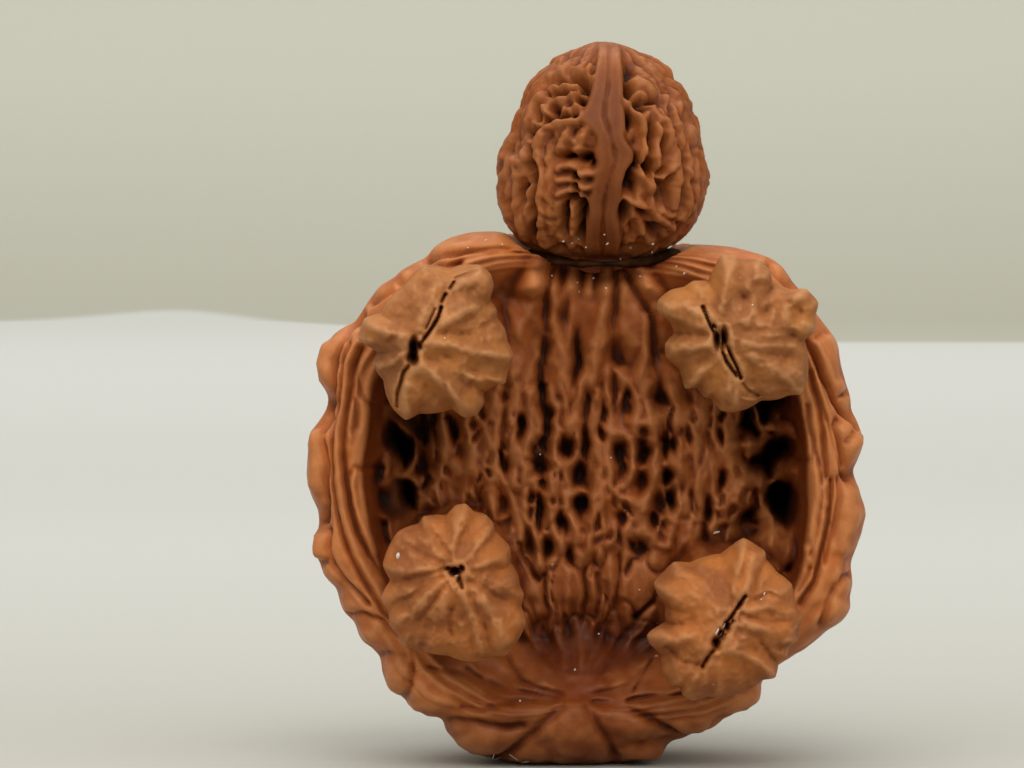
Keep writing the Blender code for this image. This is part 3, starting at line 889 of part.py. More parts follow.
def head_points(way):
    polar = np.arccos(np.clip(-way[:, 1], -1.0, 1.0))
    turn = np.arctan2(way[:, 2], way[:, 0])
    outline = HEAD_RADIUS(np.degrees(turn))
    middle_x = to_x(HEAD_MIDDLE[0])
    middle_z = to_z(HEAD_MIDDLE[1])
    x = middle_x + outline * np.sin(polar) * np.cos(turn)
    z = middle_z + outline * np.sin(polar) * np.sin(turn)
    y = HEAD_Y - HEAD_DEPTH * np.cos(polar)
    front = smooth(0.1, 0.45, np.cos(polar))
    edge = smooth(0.0, 0.5, np.abs(np.cos(polar)))

    # Suture ridge with its fine groove, at the front and at the back.
    rows = np.array(HEAD_SUTURE, float)
    levels = to_z(rows[::-1, 0])
    line = np.interp(z, levels, to_x(rows[::-1, 1]))
    half = np.interp(z, levels, rows[::-1, 2] / SKETCH)
    away = np.abs(x - line) + 0.12 * noise(x * 0.0, z / 1.1, x * 0.0, 51)
    ridge = 1.0 - smooth(half * 0.8, half * 1.25, away)
    groove = np.exp(-((away / 0.16) ** 2))

    # Wavy folds running up and down both flanks and the back.
    lon = np.arctan2(x - middle_x, -(y - HEAD_Y))
    wave = noise(x / 3.0, y / 3.0, z / 3.0, 52)
    fine = noise(x / 1.2, y / 1.2, z / 1.2, 53)
    u = lon * 20.0 / (2.0 * math.pi) + 0.3 * wave + 0.1 * fine
    v = z / 4.2 + 0.4 * wave + 0.15 * fine
    first, second, draw = cells(u, v, 54, 20)
    furrow = 1.0 - smooth(0.0, 0.45, second - first)
    folds = 0.7 * (0.45 - furrow) + 0.25 * (draw - 0.5) + 0.1 * fine
    drawn_x, drawn_z = wander(x, z, 0.16, 85)
    beads = 0.2 * noise(x / 0.8, y / 0.8, z / 0.8, 55) + 0.1 * noise(x / 0.35, y / 0.35, z / 0.35, 56)
    drawn = 1.1 * raised(drawn_x, drawn_z, HEAD_RIDGES, 2.6) - 1.15 * blobs(drawn_x, drawn_z, HEAD_PITS, 1.3) - 0.5
    flank = folds * (1.0 - 0.55 * front) + drawn * front
    crown = 1.0 - 0.6 * smooth(to_z(62), to_z(46), z)
    foot = smooth(to_z(262), to_z(240), z)
    relief = flank * (1.0 - ridge) + 0.4 * ridge - 0.28 * groove * ridge
    relief = (relief + beads * (1.0 - ridge)) * crown * (0.2 + 0.8 * foot) * (0.55 + 0.45 * edge)
    x = x + relief * np.sin(polar) * np.cos(turn)
    y = y - relief * np.cos(polar)
    z = z + relief * np.sin(polar) * np.sin(turn)
    z = np.maximum(z, HEAD_SEAT_Z)
    return np.stack([x, y, z], axis=1)


def foot_points(way, foot):
    """A walnut's base end: ribs run out from the hub to the tips of the outline."""
    outline = foot["ring"]
    polar = np.arccos(np.clip(-way[:, 1], -1.0, 1.0))
    turn = np.arctan2(way[:, 2], way[:, 0])
    angle = np.degrees(turn) % 360.0
    tip = outline(angle)
    mean = foot["soft"](angle)
    widest = math.radians(100)
    out = np.where(polar < widest, np.sin(polar / widest * math.pi / 2), 1.0)
    behind = np.clip((polar - widest) / (math.pi - widest), 0.0, 1.0)
    front_y = foot["front"]
    wide_y = -3.6
    back_y = foot["seat"] - SEAT_GAP
    middle_x = to_x(foot["middle"][0])
    middle_z = to_z(foot["middle"][1])
    lobes = mean + (tip - mean) * smooth(0.15, 0.85, out)
    seat_x = to_x(foot["seat_at"][0])
    seat_z = to_z(foot["seat_at"][1])
    radius = lobes * out
    x = middle_x + radius * np.cos(turn)
    z = middle_z + radius * np.sin(turn)
    hub_x = to_x(foot["hub"][0])
    hub_z = to_z(foot["hub"][1])
    reach = np.hypot(x - hub_x, z - hub_z)
    dome = 1.0 - np.sqrt(np.clip(1.0 - out ** 2.6, 0.0, 1.0))
    lean = 0.12 * reach
    y = front_y + (wide_y - front_y) * dome + lean * (1.0 - smooth(0.55, 1.0, out))

    # Ribs that rise towards the tips, soft wrinkles, dimples, seam and holes.
    hub_turn = np.degrees(np.arctan2(z - hub_z, x - hub_x))
    bulge = foot["hub_ring"](hub_turn) - foot["hub_soft"](hub_turn)
    ribs = bulge * 0.52 * smooth(1.2, 5.5, reach) * (1.0 - 0.5 * smooth(0.85, 1.0, out))
    wrinkle = 0.3 * noise(x / 1.7, z / 1.7, x * 0.0, 60 + foot["seed"])
    wrinkle = wrinkle + 0.13 * noise(x / 0.75, z / 0.75, x * 0.0, 70 + foot["seed"])
    line_x, line_z = wander(x, z, 0.1, 80 + foot["seed"])
    seam = np.maximum(raised(line_x, line_z, foot["seam"]), blobs(line_x, line_z, foot["holes"], 1.5))
    uneven = 0.42 + 0.35 * noise(x / 1.5, z / 1.5, x * 0.0, 100 + foot["seed"])
    soft = 0.9 * raised(line_x, line_z, foot["ridges"]) - uneven * raised(line_x, line_z, foot["creases"])
    grain = 0.06 * noise(x / 0.35, z / 0.35, x * 0.0, 90 + foot["seed"])
    relief = ribs + wrinkle + grain + soft - seam - blobs(x, z, foot["dimples"], 0.8)
    facing = 1.0 - smooth(0.93, 1.0, out)
    y = y - relief * facing

    # Flanks drawn in to the flat back that sits on the body.
    back = polar > widest
    t = smooth(0.0, 1.0, np.clip(behind / 0.6, 0.0, 1.0))
    flat = np.clip((behind - 0.6) / 0.4, 0.0, 1.0)
    seat_radius = FOOT_SEAT_RADIUS
    grown = lobes + (seat_radius - lobes) * t ** 0.8
    grown = grown * (1.0 - flat)
    centre_x = middle_x + (seat_x - middle_x) * t
    centre_z = middle_z + (seat_z - middle_z) * t
    x = np.where(back, centre_x + grown * np.cos(turn), x)
    z = np.where(back, centre_z + grown * np.sin(turn), z)
    y = np.where(back, wide_y + (back_y - wide_y) * np.clip(behind / 0.6, 0.0, 1.0) ** 0.9, y)
    return np.stack([x, y, z], axis=1)


HEAD_RADIUS = ring(HEAD_OUTLINE, HEAD_MIDDLE, 3.0)
for foot in FEET.values():
    us = [p[0] for p in foot["outline"]]
    vs = [p[1] for p in foot["outline"]]
    foot["middle"] = ((min(us) + max(us)) / 2, (min(vs) + max(vs)) / 2)
    foot["ring"] = ring(foot["outline"], foot["middle"], 1.6)
    foot["soft"] = ring(foot["outline"], foot["middle"], 16.0)
    foot["hub_ring"] = ring(foot["outline"], foot["hub"], 4.0)
    foot["hub_soft"] = ring(foot["outline"], foot["hub"], 18.0)


def make(name, subdivisions, triangles, place, flat, colour, roughness):
    """One closed solid: a fine sphere placed on the form, then thinned to the triangles given.

    flat is the axis and the place in millimetres of the piece's flat spot.
    """
    bpy.ops.mesh.primitive_ico_sphere_add(subdivisions=subdivisions, radius=1.0)
    piece = bpy.context.object
    piece.name = name
    piece.data.name = name
    mesh = piece.data
    way = np.empty(len(mesh.vertices) * 3)
    mesh.vertices.foreach_get("co", way)
    way = way.reshape(-1, 3)
    way /= np.linalg.norm(way, axis=1)[:, None]
    spots = place(way) - np.array([0.0, REST_Y, 0.0])
    mesh.vertices.foreach_set("co", (spots * 0.001).ravel())
    mesh.update()
    for polygon in mesh.polygons:
        polygon.use_smooth = True
    thin = piece.modifiers.new("thin", "DECIMATE")
    thin.ratio = triangles / len(mesh.polygons)
    bpy.ops.object.modifier_apply(modifier=thin.name)
    for vertex in mesh.vertices:
        if abs(vertex.co[flat[0]] - flat[1] * 0.001) < 0.00002:
            vertex.co[flat[0]] = flat[1] * 0.001

    finish = bpy.data.materials.new(name + "_finish")
    finish.use_nodes = True
    shader = finish.node_tree.nodes["Principled BSDF"]
    shader.inputs["Base Color"].default_value = (*colour, 1.0)
    shader.inputs["Roughness"].default_value = roughness
    piece.data.materials.append(finish)
    return piece


for item in list(bpy.data.objects):
    bpy.data.objects.remove(item, do_unlink=True)

make("body_walnut", BODY_SUBDIVISIONS, BODY_TRIANGLES, body_points, (2, 0.0), (0.24, 0.085, 0.03), 0.42)
make("head_walnut", HEAD_SUBDIVISIONS, HEAD_TRIANGLES, head_points, (2, HEAD_SEAT_Z), (0.26, 0.095, 0.035), 0.42)
for name, foot in FEET.items():
    back = (1, foot["seat"] - SEAT_GAP - REST_Y)
    make(name, FOOT_SUBDIVISIONS, FOOT_TRIANGLES, lambda way: foot_points(way, foot), back, (0.38, 0.19, 0.08), 0.7)
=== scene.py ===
# Turtle figure made of hand walnuts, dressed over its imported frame: a big netted walnut as the
# body on its base end, a small one as the head and four dry walnut base ends as the feet.

import math

import bmesh
import bpy
import numpy as np
from mathutils import Matrix, Vector
from mathutils.bvhtree import BVHTree


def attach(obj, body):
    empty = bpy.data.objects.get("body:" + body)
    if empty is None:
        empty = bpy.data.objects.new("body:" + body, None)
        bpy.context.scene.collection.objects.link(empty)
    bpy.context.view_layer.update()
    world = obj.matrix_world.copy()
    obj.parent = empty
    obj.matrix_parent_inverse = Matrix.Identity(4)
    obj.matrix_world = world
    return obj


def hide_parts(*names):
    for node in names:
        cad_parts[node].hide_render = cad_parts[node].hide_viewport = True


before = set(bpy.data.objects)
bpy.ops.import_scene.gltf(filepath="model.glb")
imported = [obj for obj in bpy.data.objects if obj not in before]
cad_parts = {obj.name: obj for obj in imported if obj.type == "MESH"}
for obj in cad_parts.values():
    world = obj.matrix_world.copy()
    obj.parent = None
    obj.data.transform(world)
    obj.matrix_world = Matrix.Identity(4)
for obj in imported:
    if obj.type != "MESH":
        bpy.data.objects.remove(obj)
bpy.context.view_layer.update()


# Body walnut: one large hand walnut grown in one piece, a corded suture flange round a
# recessed, netted belly, with the domed carapace behind it. It stands on a small flat spot
# of its base, and years of handling have left it waxy, darker in every pit than on the ridges;
# that darkness is partly dirt and partly painted shade, strongest in the recess and its caves.

# Lines are drawn in sketch units, SKETCH of them to a millimetre: across from SKETCH_X, which is
# x = 0, and down to SKETCH_Z, which is the table. Depths are millimetres behind the front of the
# flange, and REST_Y brings the resting spot to y = 0.
SKETCH = 11.2
SKETCH_X = 580.0
SKETCH_Z = 767.0
REST_Y = 9.4
BODY_MIDDLE = (586.0, 505.0)
CREST_IN = 3.0
CREST_IN_BASE = 3.0
RIM_DEPTH = 4.5
RIM_DEPTH_BASE = 5.0
BACK_DEPTH = 25.0
# Where the base star and the head lie round the flange, in degrees from the right.
BASE_ANGLE = 266.5
TOP_ANGLE = 88.0
# Where the flange's crest and its rim lie, as angles from the front.
CREST_ANGLE = math.radians(80)
RIM_ANGLE = math.radians(105)
# Cords of the flange: from one to the next, and how high they stand.
CORD_STEP = 1.15
CORD_HEIGHT = 0.4
# The head's middle and the level of its seat, which the body's pocket follows.
HEAD_MIDDLE = (603.0, 155.0)
HEAD_Y = 5.5
HEAD_SEAT_Z = 45.3
SEAT_GAP = 0.3
FOOT_SEAT_RADIUS = 4.3
# Middle of each foot's seat, and its depth behind the front of the flange.
FOOT_SEATS = {
    "foot_upper_left": (436, 334, 0.6),
    "foot_upper_right": (736, 330, 0.6),
    "foot_lower_left": (454, 578, 0.6),
    "foot_lower_right": (724, 612, 0.6),
}

# Silhouette of the body, anticlockwise from the right, with the lobes of the
# carapace that look out behind the flange.
BODY_OUTLINE = [
    (853, 473), (856, 460), (861, 450), (864, 440), (861, 430), (857, 420), (851, 410), (851, 397),
    (848, 388), (842, 374), (840, 358), (839, 346), (836, 339), (829, 330), (821, 320), (812, 308),
    (804, 294), (793, 283), (783, 267), (770, 258), (750, 252), (735, 248), (715, 246), (690, 245),
    (640, 244), (590, 243), (540, 240), (512, 236), (498, 232), (470, 233), (450, 238), (434, 247),
    (427, 258), (410, 266), (400, 271), (395, 278), (380, 286), (370, 299), (360, 315), (354, 324),
    (345, 327), (335, 333), (327, 343), (320, 358), (318, 368), (321, 382), (329, 398), (326, 411),
    (318, 423), (310, 433), (308, 446), (307, 460), (306, 478), (311, 497), (318, 511), (319, 525),
    (315, 540), (314, 554), (320, 565), (323, 577), (336, 589), (339, 602), (343, 614), (354, 623),
    (360, 641), (371, 649), (380, 659), (382, 673), (391, 689), (401, 700), (415, 711), (430, 716),
    (441, 719), (446, 731), (460, 742), (468, 751), (478, 760), (495, 766), (530, 772), (580, 774),
    (625, 772), (648, 766), (660, 757), (669, 747), (684, 745), (699, 736), (710, 734), (727, 722),
    (740, 714), (750, 705), (761, 693), (766, 678), (776, 670), (795, 657), (813, 646), (828, 632),
    (845, 621), (852, 609), (850, 598), (854, 586), (851, 565), (858, 545), (863, 530), (867, 512),
    (862, 498), (858, 486),
]

# Plump strands of the belly: points, half width, height.
BELLY_RIBS = [
    ([(537, 262), (530, 290), (522, 320), (514, 345), (508, 372)], 16, 1.5),
    ([(498, 300), (492, 340), (488, 380)], 12.5, 0.6),
    ([(508, 372), (499, 410), (495, 445), (490, 480)], 12.5, 0.9),
    ([(557, 290), (554, 320), (552, 340), (562, 365), (566, 395), (567, 425)], 11, 0.8),
    ([(606, 278), (604, 310), (600, 345), (592, 372), (582, 395), (575, 425), (577, 440)], 11, 1.7),
    ([(612, 285), (606, 330), (606, 380), (609, 420), (612, 440)], 9, 0.9),
    ([(597, 380), (594, 420), (598, 450), (600, 480), (596, 520), (594, 560)], 11, 1.0),
    ([(626, 290), (628, 320), (626, 340)], 16, 1.0),
    ([(634, 270), (650, 290), (663, 314), (672, 342)], 11, 1.5),
    ([(645, 318), (645, 350), (643, 378), (650, 402), (656, 420), (655, 440)], 7.5, 0.9),
    ([(622, 372), (629, 388), (640, 408), (636, 430)], 6, 0.8),
    ([(672, 340), (684, 375), (700, 412), (698, 445), (704, 480), (697, 520), (690, 545)], 10, 0.9),
    ([(712, 415), (722, 446), (738, 476), (748, 508)], 9, 0.9),
    ([(441, 405), (443, 440), (440, 470), (432, 498)], 6, 0.8),
    ([(469, 412), (473, 440), (470, 470)], 6, 0.8),
    ([(514, 385), (511, 415), (511, 440), (519, 452), (524, 470), (514, 484)], 9, 1.0),
    ([(532, 395), (531, 430), (527, 455)], 7.5, 1.0),
    ([(561, 432), (556, 455), (556, 475), (549, 492)], 6, 0.9),
    ([(576, 460), (567, 472), (565, 495), (570, 517), (578, 535)], 6, 1.0),
    ([(600, 486), (594, 500), (596, 520)], 6, 0.8),
    ([(610, 445), (606, 470), (612, 488), (626, 500), (640, 506), (648, 498)], 6, 1.0),
    ([(630, 440), (635, 460), (633, 478), (620, 488)], 5, 1.0),
    ([(660, 458), (655, 474), (649, 492), (646, 512)], 6, 1.0),
    ([(679, 455), (684, 476), (682, 500), (672, 520), (668, 545)], 7.5, 1.0),
    ([(490, 492), (494, 512), (508, 535), (516, 560)], 7.5, 0.8),
    ([(505, 486), (512, 500), (518, 520), (522, 540)], 6, 0.8),
    ([(553, 488), (551, 512), (556, 535), (562, 552)], 5.5, 1.0),
    ([(525, 492), (526, 510), (532, 528), (536, 545)], 5.5, 0.8),
    ([(611, 545), (617, 530), (628, 532), (634, 548)], 7.5, 0.9),
    ([(646, 520), (640, 535), (652, 545)], 6, 0.7),
    ([(716, 470), (722, 500), (716, 530)], 10, 0.7),
]

# Webs that tie the strands together: points, half width, height.
BELLY_WEBS = [
    ([(496, 476), (512, 482), (526, 478)], 7, 0.7),
    ([(556, 462), (566, 464), (577, 458)], 6, 0.9),
    ([(530, 482), (546, 476), (556, 472)], 6, 0.7),
    ([(571, 432), (580, 428), (592, 432)], 6, 0.8),
    ([(632, 420), (645, 424), (657, 421)], 6, 0.9),
    ([(657, 462), (668, 462), (682, 466)], 6, 0.9),
    ([(572, 496), (580, 495), (592, 497)], 6, 0.9),
    ([(547, 495), (543, 494), (536, 492)], 4.5, 0.7),
    ([(478, 478), (494, 482)], 8.5, 0.6),
    ([(443, 412), (456, 414), (470, 412)], 7, 0.5),
    ([(441, 474), (455, 470), (472, 474), (490, 480)], 10, 0.7),
    ([(660, 520), (672, 512), (684, 512)], 6, 0.8),
    ([(700, 455), (716, 466), (736, 474)], 7, 0.7),
    ([(556, 534), (570, 538), (584, 540)], 7, 0.8),
    ([(618, 496), (626, 512), (640, 522)], 6, 0.7),
]

# Pits of the belly: middle, half width, half height, depth.
BELLY_PITS = [
    (456, 431, 7, 15.5, 1.7), (460, 455, 5, 10, 1.1), (475, 432, 3.5, 10, 0.9), (503, 452, 2.5, 14, 1.4),
    (507, 468, 3.5, 10, 1.7), (520, 428, 4.5, 11, 2), (541, 466, 8.5, 12.5, 2.9), (546, 447, 7, 11, 2.4),
    (536, 455, 4.5, 9, 1.8), (544, 485, 5, 7, 2), (567, 448, 7, 9, 2.9), (585, 441, 4.5, 14, 2.3),
    (578, 479, 6, 12.5, 2.4), (581, 508, 7, 11, 2.8), (553, 501, 2.5, 4.5, 1.4), (533, 500, 4.5, 7, 1.5),
    (532, 515, 3.5, 7, 1.5), (541, 514, 3.5, 17, 2.4), (563, 528, 5, 10, 2.3), (547, 550, 5, 9, 2.4),
    (529, 545, 5, 14.5, 1.9), (618, 458, 5, 14.5, 2), (621, 472, 4.5, 8, 2.5), (643, 455, 5, 11, 2.8),
    (643, 483, 6, 12.5, 2.9), (646, 432, 3.5, 7, 1.7), (667, 444, 5, 17, 2.5), (676, 441, 3.5, 10, 1.9),
    (670, 482, 5, 12.5, 2.8), (672, 501, 6, 15.5, 3), (660, 505, 7.5, 11, 2.8), (654, 521, 5, 10, 2.3),
    (664, 530, 4.5, 11, 1.5), (622, 521, 4.5, 10, 1.8), (683, 491, 5, 11, 1.4), (690, 435, 2.5, 9, 1.4),
    (722, 486, 3.5, 10, 1.5), (708, 511, 5, 14.5, 2.2), (706, 536, 5, 14, 2), (641, 549, 8.5, 9, 1.9),
    (501, 510, 5, 14.5, 1.4), (576, 358, 5, 23.5, 1.9), (545, 352, 5, 14, 1.5), (564, 310, 5, 21.5, 0.9),
    (547, 318, 4.5, 23.5, 0.7), (622, 354, 11, 14.5, 1.5), (629, 405, 5, 14, 2.2),
    (661, 400, 7.5, 14.5, 1.8),
    (692, 394, 12, 14.5, 1.5), (586, 404, 4.5, 20, 1.5), (614, 390, 3.5, 18, 1.2), (616, 300, 3.5, 20, 0.7),
    (656, 340, 4.5, 23.5, 1), (655, 262, 19, 10, 1.4), (600, 262, 51.5, 10, 1.5), (752, 528, 7.5, 14, 2.5),
    (480, 500, 5, 14, 1.5), (570, 560, 5, 9, 1.5), (722, 430, 5, 15.5, 1), (744, 440, 5, 14, 1.2),
]

# Narrow clefts and slits of the belly: points, half width, depth.
BELLY_SLITS = [
    ([(544, 352), (540, 368), (539, 384)], 5.0, 1.0),
    ([(541, 388), (544, 408), (548, 420), (549, 436)], 5.0, 2.2),
    ([(600, 384), (604, 402), (603, 430), (602, 460), (601, 478)], 1.8, 0.8),
    ([(598, 500), (599, 530), (597, 560), (592, 580)], 1.8, 0.8),
    ([(560, 398), (562, 425)], 2.2, 0.8),
    ([(638, 286), (648, 306), (657, 334), (662, 352)], 4.0, 0.6),
    ([(508, 366), (505, 400), (502, 436)], 3.2, 0.6),
    ([(437, 405), (438, 440), (436, 470)], 2.8, 1.2),
    ([(612, 492), (622, 506), (632, 516)], 1.8, 0.8),
    ([(716, 420), (706, 440), (700, 465)], 1.8, 0.9),
    ([(520, 545), (528, 566), (540, 582)], 3.2, 1.4),
    ([(624, 574), (632, 562), (650, 553)], 2.8, 1.2),
    ([(638, 619), (650, 609), (662, 590)], 2.8, 1.4),
    ([(586, 570), (585, 600), (584, 622)], 1.7, 0.8),
    ([(597, 578), (599, 600), (594, 620)], 2.2, 1.3),
    ([(605, 585), (607, 604)], 1.6, 0.7),
    ([(566, 620), (569, 632), (571, 642)], 1.6, 0.9),
    ([(545, 578), (547, 604), (544, 634)], 1.7, 0.8),
    ([(618, 560), (618, 590), (616, 612)], 1.6, 0.6),
    ([(536, 628), (533, 646)], 2.0, 0.5),
    ([(610, 628), (606, 650)], 1.8, 0.5),
]

# Caves of the gutters between belly and flange: rim points, depth, width of the slope.
GUTTER_CAVES = [
    ([(388, 418), (382, 432), (381, 444), (386, 452), (392, 462), (398, 476), (403, 479), (409, 474),
      (416, 462), (418, 451), (414, 440), (406, 433), (398, 425)], 7.0, 16.0),
    ([(397, 483), (396, 498), (400, 510), (408, 519), (418, 518), (419, 500), (415, 486),
      (407, 481)], 6.0, 16.0),
    ([(752, 398), (764, 393), (796, 390), (789, 402), (780, 412), (775, 421), (769, 431), (761, 426),
      (757, 414)], 7.0, 16.0),
    ([(740, 412), (738, 428), (745, 438), (755, 444), (763, 449), (766, 438), (760, 426), (757, 412),
      (750, 402)],
     6.0, 16.0),
    ([(768, 449), (777, 441), (788, 437), (798, 440), (800, 452), (797, 461), (790, 465), (784, 476),
      (777, 487), (769, 486), (763, 479), (752, 478), (744, 463), (743, 456), (752, 462)], 7.0, 16.0),
    ([(768, 489), (778, 484), (792, 481), (802, 483), (809, 491), (808, 503), (804, 514), (798, 526),
      (789, 534), (782, 527), (773, 520), (767, 511), (765, 500)], 7.0, 17.0),
    ([(795, 536), (802, 545), (803, 556), (798, 568), (790, 578), (784, 570), (793, 556)], 5.0, 8.0),
    ([(384, 376), (390, 376), (392, 402), (386, 404)], 3.0, 4.0),
    ([(352, 522), (364, 540), (382, 556), (392, 548), (390, 524), (376, 508), (362, 505)], 2.2, 9.0),
]

# Shallow pockets of the flange's inner wall: middle, half sizes, depth.
WALL_POCKETS = [
    (367, 484, 12, 16, 1.6), (380, 500, 9, 12, 1.2), (366, 445, 7, 22, 0.6), (800, 428, 8, 10, 1.6),
    (424, 470, 9, 18, 1.2), (427, 430, 7, 16, 1.0), (795, 500, 14, 14, 0.8), (372, 410, 4, 20, 0.4),
]

# Round knobs, webs and folds that stand in the gutters: middle, half sizes, height.
GUTTER_KNOBS = [
    (779, 548, 16, 22, 4.6), (752, 448, 16, 5, 1.6), (783, 431, 14, 7, 2.4), (790, 473, 12, 7, 2.6),
    (812, 474, 10, 12, 1.2), (389, 470, 5, 18, 1.4), (755, 486, 12, 8, 1.8), (741, 500, 14, 14, 1.6),
    (430, 505, 12, 10, 1.4), (806, 450, 9, 8, 1.0), (774, 419, 5, 8, 1.4), (420, 483, 6, 5, 1.2),
    (358, 352, 8, 14, 0.8),
]

# Scales above the base star: middle, half width, half height.
BELLY_SCALES = [
    (568, 592, 15, 27), (592, 596, 6, 22), (611, 575, 6, 27), (641, 586, 19, 27), (603, 613, 6, 10),
    (533, 596, 13, 28), (628, 616, 9, 14), (550, 560, 7, 15), (580, 552, 9, 18), (551, 600, 3, 34),
    (606, 548, 7, 16), (541, 567, 7, 11), (541, 640, 8, 14), (575, 632, 6, 12), (657, 566, 9, 11),
    (590, 632, 6, 12), (614, 634, 7, 14), (655, 616, 12, 9), (560, 650, 6, 14), (584, 656, 6, 13),
    (602, 658, 6, 12), (625, 652, 8, 14), (524, 632, 8, 18), (645, 640, 9, 14), (520, 656, 9, 12),
]

# Hollow in the flange under the head: middle, half sizes, depth.
NECK_HOLLOW = [(597, 260, 58, 24, 3.6)]

# Folds that run up into that hollow: points, half width, height.
NECK_FOLDS = [
    ([(544, 258), (538, 272), (532, 292)], 12, 2.2),
    ([(607, 274), (606, 300)], 8, 1.6),
    ([(634, 266), (642, 276), (652, 294)], 9, 2.2),
    ([(573, 272), (570, 300)], 7, 1.2),
    ([(590, 276), (588, 298)], 5, 0.9),
    ([(622, 276), (626, 298)], 6, 1.0),
    ([(556, 270), (553, 296)], 5, 0.8),
]

# Grooves that run out from the base star: points, half width, depth.
STAR_GROOVES = [
    ([(560, 694), (538, 690), (520, 682), (511, 668), (505, 648)], 3.4, 1.0),
    ([(556, 697), (520, 692), (500, 687), (482, 680), (466, 668)], 3.2, 1.1),
    ([(556, 700), (520, 699), (500, 701), (478, 707), (462, 704)], 3.0, 0.8),
    ([(562, 705), (548, 716), (533, 732), (512, 750), (496, 764)], 5.0, 1.0),
    ([(586, 706), (598, 722), (607, 737), (617, 757)], 4.5, 0.9),
    ([(592, 702), (625, 705), (645, 713), (660, 722), (678, 736)], 4.0, 1.3),
    ([(628, 700), (655, 696), (680, 692), (700, 689), (742, 686)], 3.0, 1.3),
    ([(634, 690), (643, 676), (652, 662)], 2.0, 0.9),
    ([(586, 696), (610, 690), (630, 684), (650, 668)], 3.2, 0.6),
    ([(452, 717), (470, 716), (500, 722), (522, 724)], 4.0, 0.9),
    ([(413, 652), (414, 670), (411, 686), (404, 700)], 3.6, 0.8),
    ([(378, 656), (392, 650), (406, 654)], 3.0, 0.7),
    ([(640, 742), (660, 740), (690, 742)], 5.0, 0.7),
    ([(430, 664), (460, 670), (482, 680)], 3.0, 0.7),
    ([(702, 735), (714, 722), (740, 712)], 3.0, 0.5),
]

# Swellings between those grooves: middle, half sizes, height.
STAR_LOBES = [
    (500, 711, 42, 8, 1.0), (655, 705, 42, 6, 0.7), (572, 735, 30, 24, 0.9), (640, 724, 26, 10, 0.8),
    (478, 738, 30, 13, 1.2), (440, 692, 26, 22, 1.2), (740, 700, 30, 12, 0.8), (395, 680, 13, 20, 0.6),
    (530, 752, 24, 10, 0.8), (650, 752, 24, 8, 0.9), (460, 650, 30, 14, 0.5), (690, 725, 20, 8, 0.7),
    (520, 690, 16, 5, 0.5), (610, 684, 22, 5, 0.4),
]

# Creases along and across the flange: points, half width, depth.
FLANGE_CREASES = [
    ([(362, 312), (352, 326), (343, 342), (338, 358), (337, 378), (333, 400), (330, 418),
      (322, 432)], 2.6, 0.9),
    ([(322, 434), (326, 448), (328, 462), (326, 478), (328, 500), (324, 520)], 2.2, 0.8),
    ([(352, 340), (345, 362), (342, 385), (339, 408), (334, 430), (332, 452), (332, 476), (336, 500),
      (342, 528), (350, 550), (361, 571), (371, 589), (382, 606), (394, 622)], 2.2, 0.8),
    ([(362, 346), (356, 364), (353, 385), (349, 405), (345, 428), (344, 452), (346, 478), (351, 502),
      (358, 532), (370, 554), (382, 572), (394, 592)], 2.4, 0.9),
    ([(329, 528), (328, 548), (333, 563), (345, 578), (358, 592), (368, 602)], 2.2, 0.8),
    ([(316, 564), (324, 562), (331, 556)], 2.0, 0.6),
    ([(350, 472), (356, 466), (370, 466), (382, 470)], 2.0, 0.5),
    ([(357, 372), (362, 392), (372, 402)], 2.0, 0.5),
    ([(350, 430), (356, 424), (358, 402), (352, 392)], 1.8, 0.4),
    ([(342, 616), (360, 612), (384, 618), (400, 632)], 2.6, 0.6),
    ([(402, 282), (418, 272), (436, 266), (460, 262)], 2.4, 0.8),
    ([(427, 259), (448, 254), (470, 250), (500, 248), (520, 250)], 2.2, 0.8),
    ([(372, 302), (388, 292), (402, 286), (420, 272)], 2.4, 0.7),
    ([(768, 264), (776, 274), (788, 286), (800, 306)], 2.4, 0.9),
    ([(802, 338), (811, 354), (820, 374), (829, 390), (837, 404), (848, 416), (857, 428)], 2.8, 1.2),
    ([(832, 396), (840, 394), (849, 392)], 1.6, 0.7),
    ([(800, 338), (812, 336), (826, 331)], 1.6, 0.4),
    ([(808, 370), (813, 390), (819, 408), (821, 430), (822, 452), (825, 476), (828, 500)], 1.8, 0.8),
    ([(814, 390), (822, 408), (829, 430), (834, 450), (838, 466), (846, 478)], 1.8, 0.7),
    ([(836, 418), (831, 426), (835, 440), (838, 452), (841, 462)], 2.0, 0.8),
    ([(849, 430), (843, 440)], 2.0, 0.6),
    ([(806, 404), (806, 420), (811, 436), (812, 450)], 2.0, 0.7),
    ([(798, 461), (808, 458), (814, 450), (818, 462), (821, 480)], 1.8, 0.7),
    ([(829, 478), (829, 500), (827, 520), (823, 540), (818, 560), (811, 580), (800, 602)], 2.2, 1.0),
    ([(838, 470), (837, 496), (833, 518), (827, 540), (823, 560)], 1.8, 0.7),
    ([(851, 575), (842, 574), (834, 584), (826, 600), (820, 622)], 2.4, 0.6),
    ([(806, 540), (812, 556), (806, 574), (798, 588)], 2.2, 0.6),
    ([(764, 684), (756, 678), (748, 684)], 2.0, 0.5),
]

